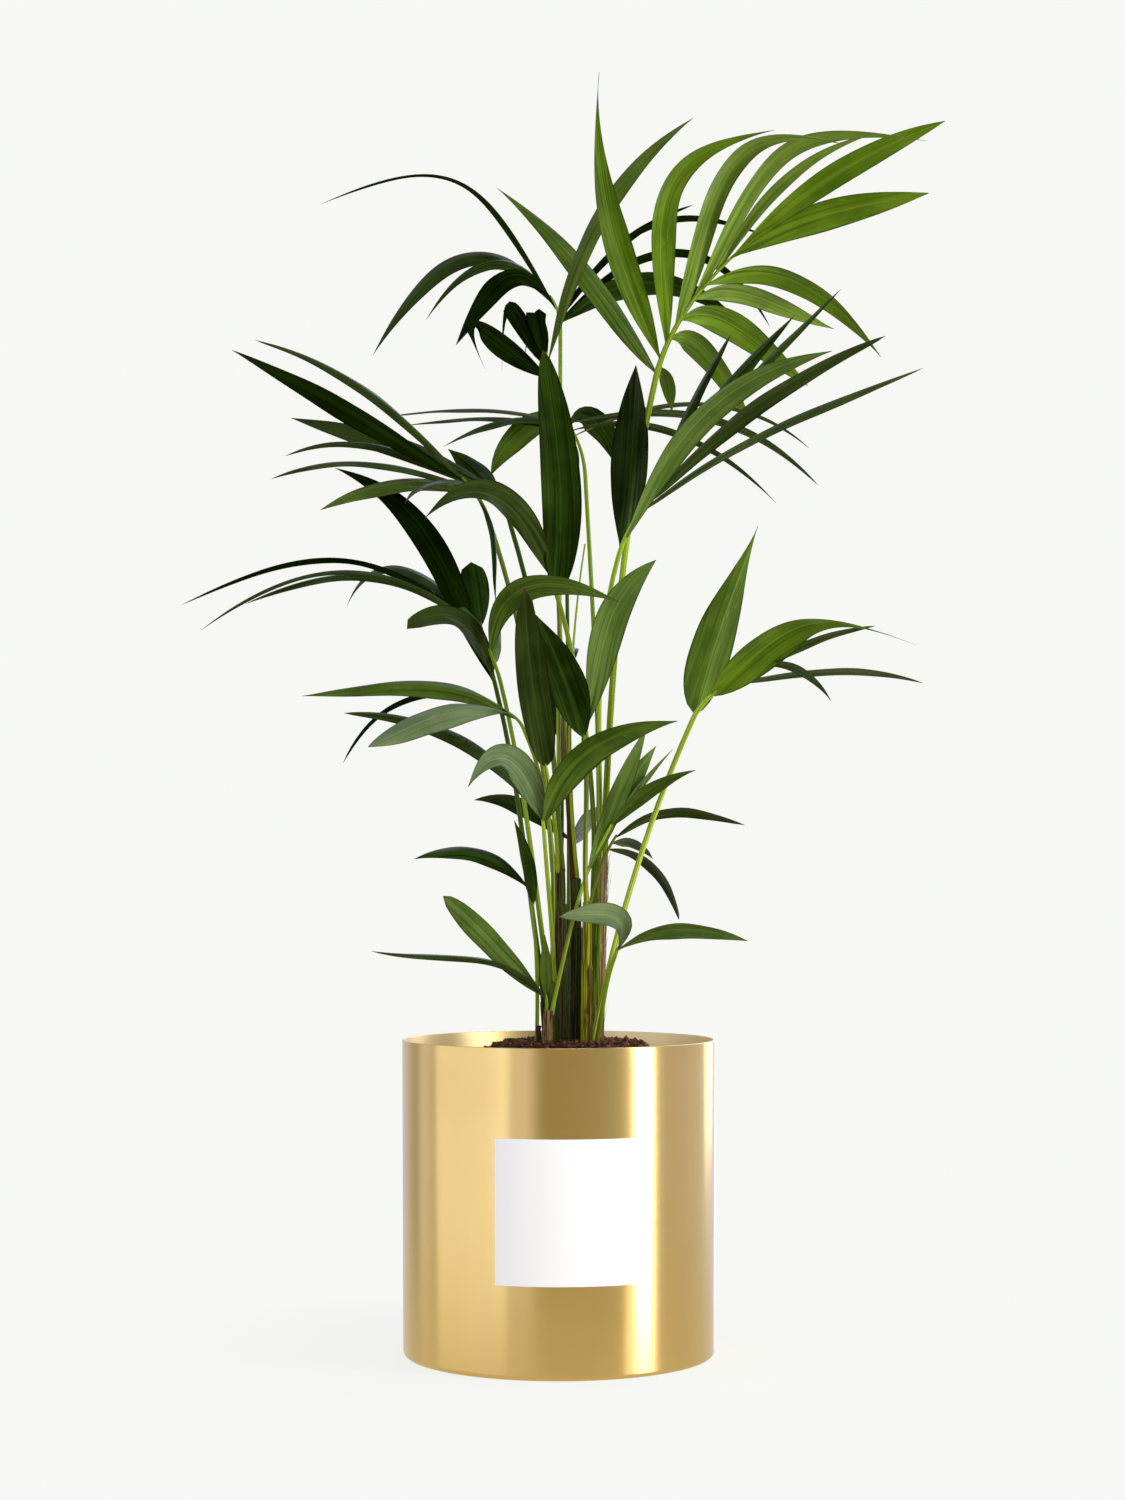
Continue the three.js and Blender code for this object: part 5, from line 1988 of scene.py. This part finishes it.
@dataclass(frozen=True)
class Softbox:
    """A rectangular light that faces the plant.

    `azimuth` is in degrees from the camera's side, positive to the right. Sizes are in metres.
    """

    name: str
    azimuth: float
    distance: float
    width: float
    low: float
    high: float
    radiance: float
    tint: Point = (1.0, 1.0, 1.0)
    aim: float = 0.5

    def place(self) -> None:
        """Hangs the light."""
        light = bpy.data.lights.new(self.name, "AREA")
        light.shape = "RECTANGLE"
        light.size, light.size_y = self.width, self.high - self.low
        light.energy = self.radiance * math.pi * self.width * (self.high - self.low)
        light.color = self.tint
        lamp = link(self.name, light)
        turn = math.radians(self.azimuth)
        middle = (self.low + self.high) / 2
        tilt = math.atan2(middle - self.aim, self.distance)
        lamp.location = (self.distance * math.sin(turn), -self.distance * math.cos(turn), middle)
        lamp.rotation_euler = (math.pi / 2 - tilt, 0, turn)
        lamp.visible_camera = False


@dataclass
class Studio:
    """The floor, the backdrop, the light and the camera.

    `room` is the brightness of the dim room round the plant: degrees from the camera's side, positive to
    the right, and the radiance there. `ceiling` and `ground_line` are the directions between which it
    fades, as the sine of their height, and what it fades from and to. `dim` and `bright` are a radiance, and
    the green and the blue of the light there.
    """

    picture_height: float = 1500.0
    sensor: float = 36.0
    backdrop: Colour = (247, 248, 243)
    reach: float = 14.0
    inner_floor: float = 1.2
    shadow: Pair = (0.16, 0.5)
    paper: float = 0.16
    fill: float = 0.84
    room: tuple[Pair, ...] = (
        (-150, 0.65), (-128, 0.46), (-117, 0.82), (-99, 0.6), (-84, 0.57), (-57, 0.62), (-38, 0.84),
        (-24, 0.9), (-11, 0.36), (2, 0.07), (20, 0.07), (34, 0.3), (50, 0.66), (84, 0.1), (94, 0.15),
        (104, 1.5), (122, 2.0), (165, 0.75))
    ceiling: tuple[float, ...] = (0.4, 0.95, 1.0, 0.35)
    ground_line: tuple[float, ...] = (-0.1, -0.24, 0.0, 1.0)
    ground: Point = (0.7, 0.65, 0.52)
    dim: Point = (0.25, 0.92, 0.5)
    bright: Point = (0.75, 1.02, 1.3)
    lights: tuple[Softbox, ...] = (
        Softbox("left_softbox", -67, 2.2, 2.8, -0.6, 2.4, 0.6, (0.92, 1.0, 1.3)),
        Softbox("right_strip", 62.7, 2.4, 0.6, -0.6, 2.6, 9.0),
        Softbox("low_glow", 61, 2.4, 1.1, -0.9, -0.15, 1.0, (1.0, 0.97, 1.15)),
        Softbox("back_strip", 140, 2.4, 0.9, 0.0, 2.4, 1.6),
        Softbox("top", 10, 1.9, 1.8, 3.0, 3.9, 4.0),
    )

    def build(self) -> None:
        """Builds all of it."""
        self.floor()
        self.dome()
        self.world()
        for softbox in self.lights:
            softbox.place()
        self.camera()
        bpy.context.scene.view_settings.view_transform = "Standard"

    def stand(self, piece: Object, name: str, graph: Graph, colour: object, glow: object) -> None:
        """Paints a piece of the studio that only the camera sees.

        Args:
            piece: The piece.
            name: Its name.
            graph: The nodes of its material.
            colour: The colour that takes light.
            glow: How strongly the backdrop's colour glows.
        """
        graph.feed(graph.shader, {
            "Base Color": colour,
            "Roughness": 1.0,
            "Specular IOR Level": 0.0,
            "Emission Color": linear(self.backdrop),
            "Emission Strength": glow,
        })
        settle(piece, name, [graph.material])
        piece.visible_diffuse = piece.visible_glossy = piece.visible_transmission = False
        piece.visible_shadow = piece.visible_volume_scatter = False

    def floor(self) -> None:
        """Lays a wide pale disc under the pot, which takes a soft shadow close to it."""
        piece = begin(bpy.ops.mesh.primitive_circle_add, vertices=128, radius=self.reach, fill_type="NGON")
        with editing():
            pick_all()
            bpy.ops.mesh.inset(thickness=self.reach - self.inner_floor)
        graph = Graph("floor_paint")
        across, back, _ = graph.split(graph.coordinates())
        flat = graph.add("CombineXYZ", {0: across, 1: back})
        away = graph.add("VectorMath", {0: flat.outputs[0]}, operation="LENGTH").outputs["Value"]
        paper = graph.mix(graph.ramp(away, *self.shadow, self.paper, 0.0), (0, 0, 0, 1), (1, 1, 1, 1))
        self.stand(piece, "floor", graph, paper, graph.ramp(away, *self.shadow, self.fill, 1.0))

    def dome(self) -> None:
        """Closes the view with a pale dome."""
        piece = begin(bpy.ops.mesh.primitive_uv_sphere_add, segments=48, ring_count=24, radius=self.reach)
        self.stand(piece, "backdrop", Graph("backdrop_paint"), (0, 0, 0, 1), 1.0)

    def tint(self, radiance: float) -> tuple[float, float, float, float]:
        """Colours the room's light: the dim parts are warm, the bright ones cool.

        Args:
            radiance: The room's brightness somewhere.

        Returns:
            The light's red, green, blue and alpha.
        """
        green, blue = (
            np.interp(radiance, (self.dim[0], self.bright[0]), (self.dim[part], self.bright[part]))
            for part in (1, 2))
        return (radiance, radiance * green, radiance * blue, 1)

    def world(self) -> None:
        """Sets the dim room: it goes by direction, and fades towards its floor and its ceiling."""
        world = bpy.data.worlds.new("studio")
        world.use_nodes = True
        bpy.context.scene.world = world
        graph = Nodes(world.node_tree)
        across, back, up = graph.split(graph.add("TexCoord").outputs["Generated"])
        turn = graph.math("ARCTAN2", across, graph.math("MULTIPLY", back, -1.0))
        ramp = graph.add("ValToRGB", {0: graph.math("MULTIPLY_ADD", turn, 1 / math.tau, 0.5)})
        ramp.color_ramp.interpolation = "EASE"
        stops = ramp.color_ramp.elements
        for number, (azimuth, radiance) in enumerate(self.room):
            stop = stops[number] if number < 2 else stops.new(0.5)
            stop.position = azimuth / 360 + 0.5
            stop.color = self.tint(radiance)
        room = graph.mix(graph.ramp(up, *self.ground_line), ramp.outputs[0], (*self.ground, 1))
        background = world.node_tree.nodes["Background"]
        graph.feed(background, {"Color": room, "Strength": graph.ramp(up, *self.ceiling)})

    def camera(self) -> None:
        """Stands the camera at the front elevation's eye."""
        data = bpy.data.cameras.new("camera")
        data.sensor_fit = "VERTICAL"
        data.sensor_height = self.sensor
        data.lens = SHEET_DISTANCE / self.picture_height * self.sensor
        camera = link("camera", data)
        camera.location = EYE * MM
        camera.rotation_euler = (math.pi / 2 + SHEET_LEAN, 0, 0)
        bpy.context.scene.camera = camera


def main() -> None:
    """Builds the pot, the compost, the stems, the crown and the studio, in that order."""
    logging.basicConfig(level=logging.INFO, format="%(name)s: %(message)s")
    pot = Pot()
    pot.build()
    Label(pot).build()
    Compost(pot).build()
    for stem in STEMS:
        Cane(stem).build()
    Stub().build()
    Crown().build()
    Studio().build()


if __name__ == "__main__":
    main()
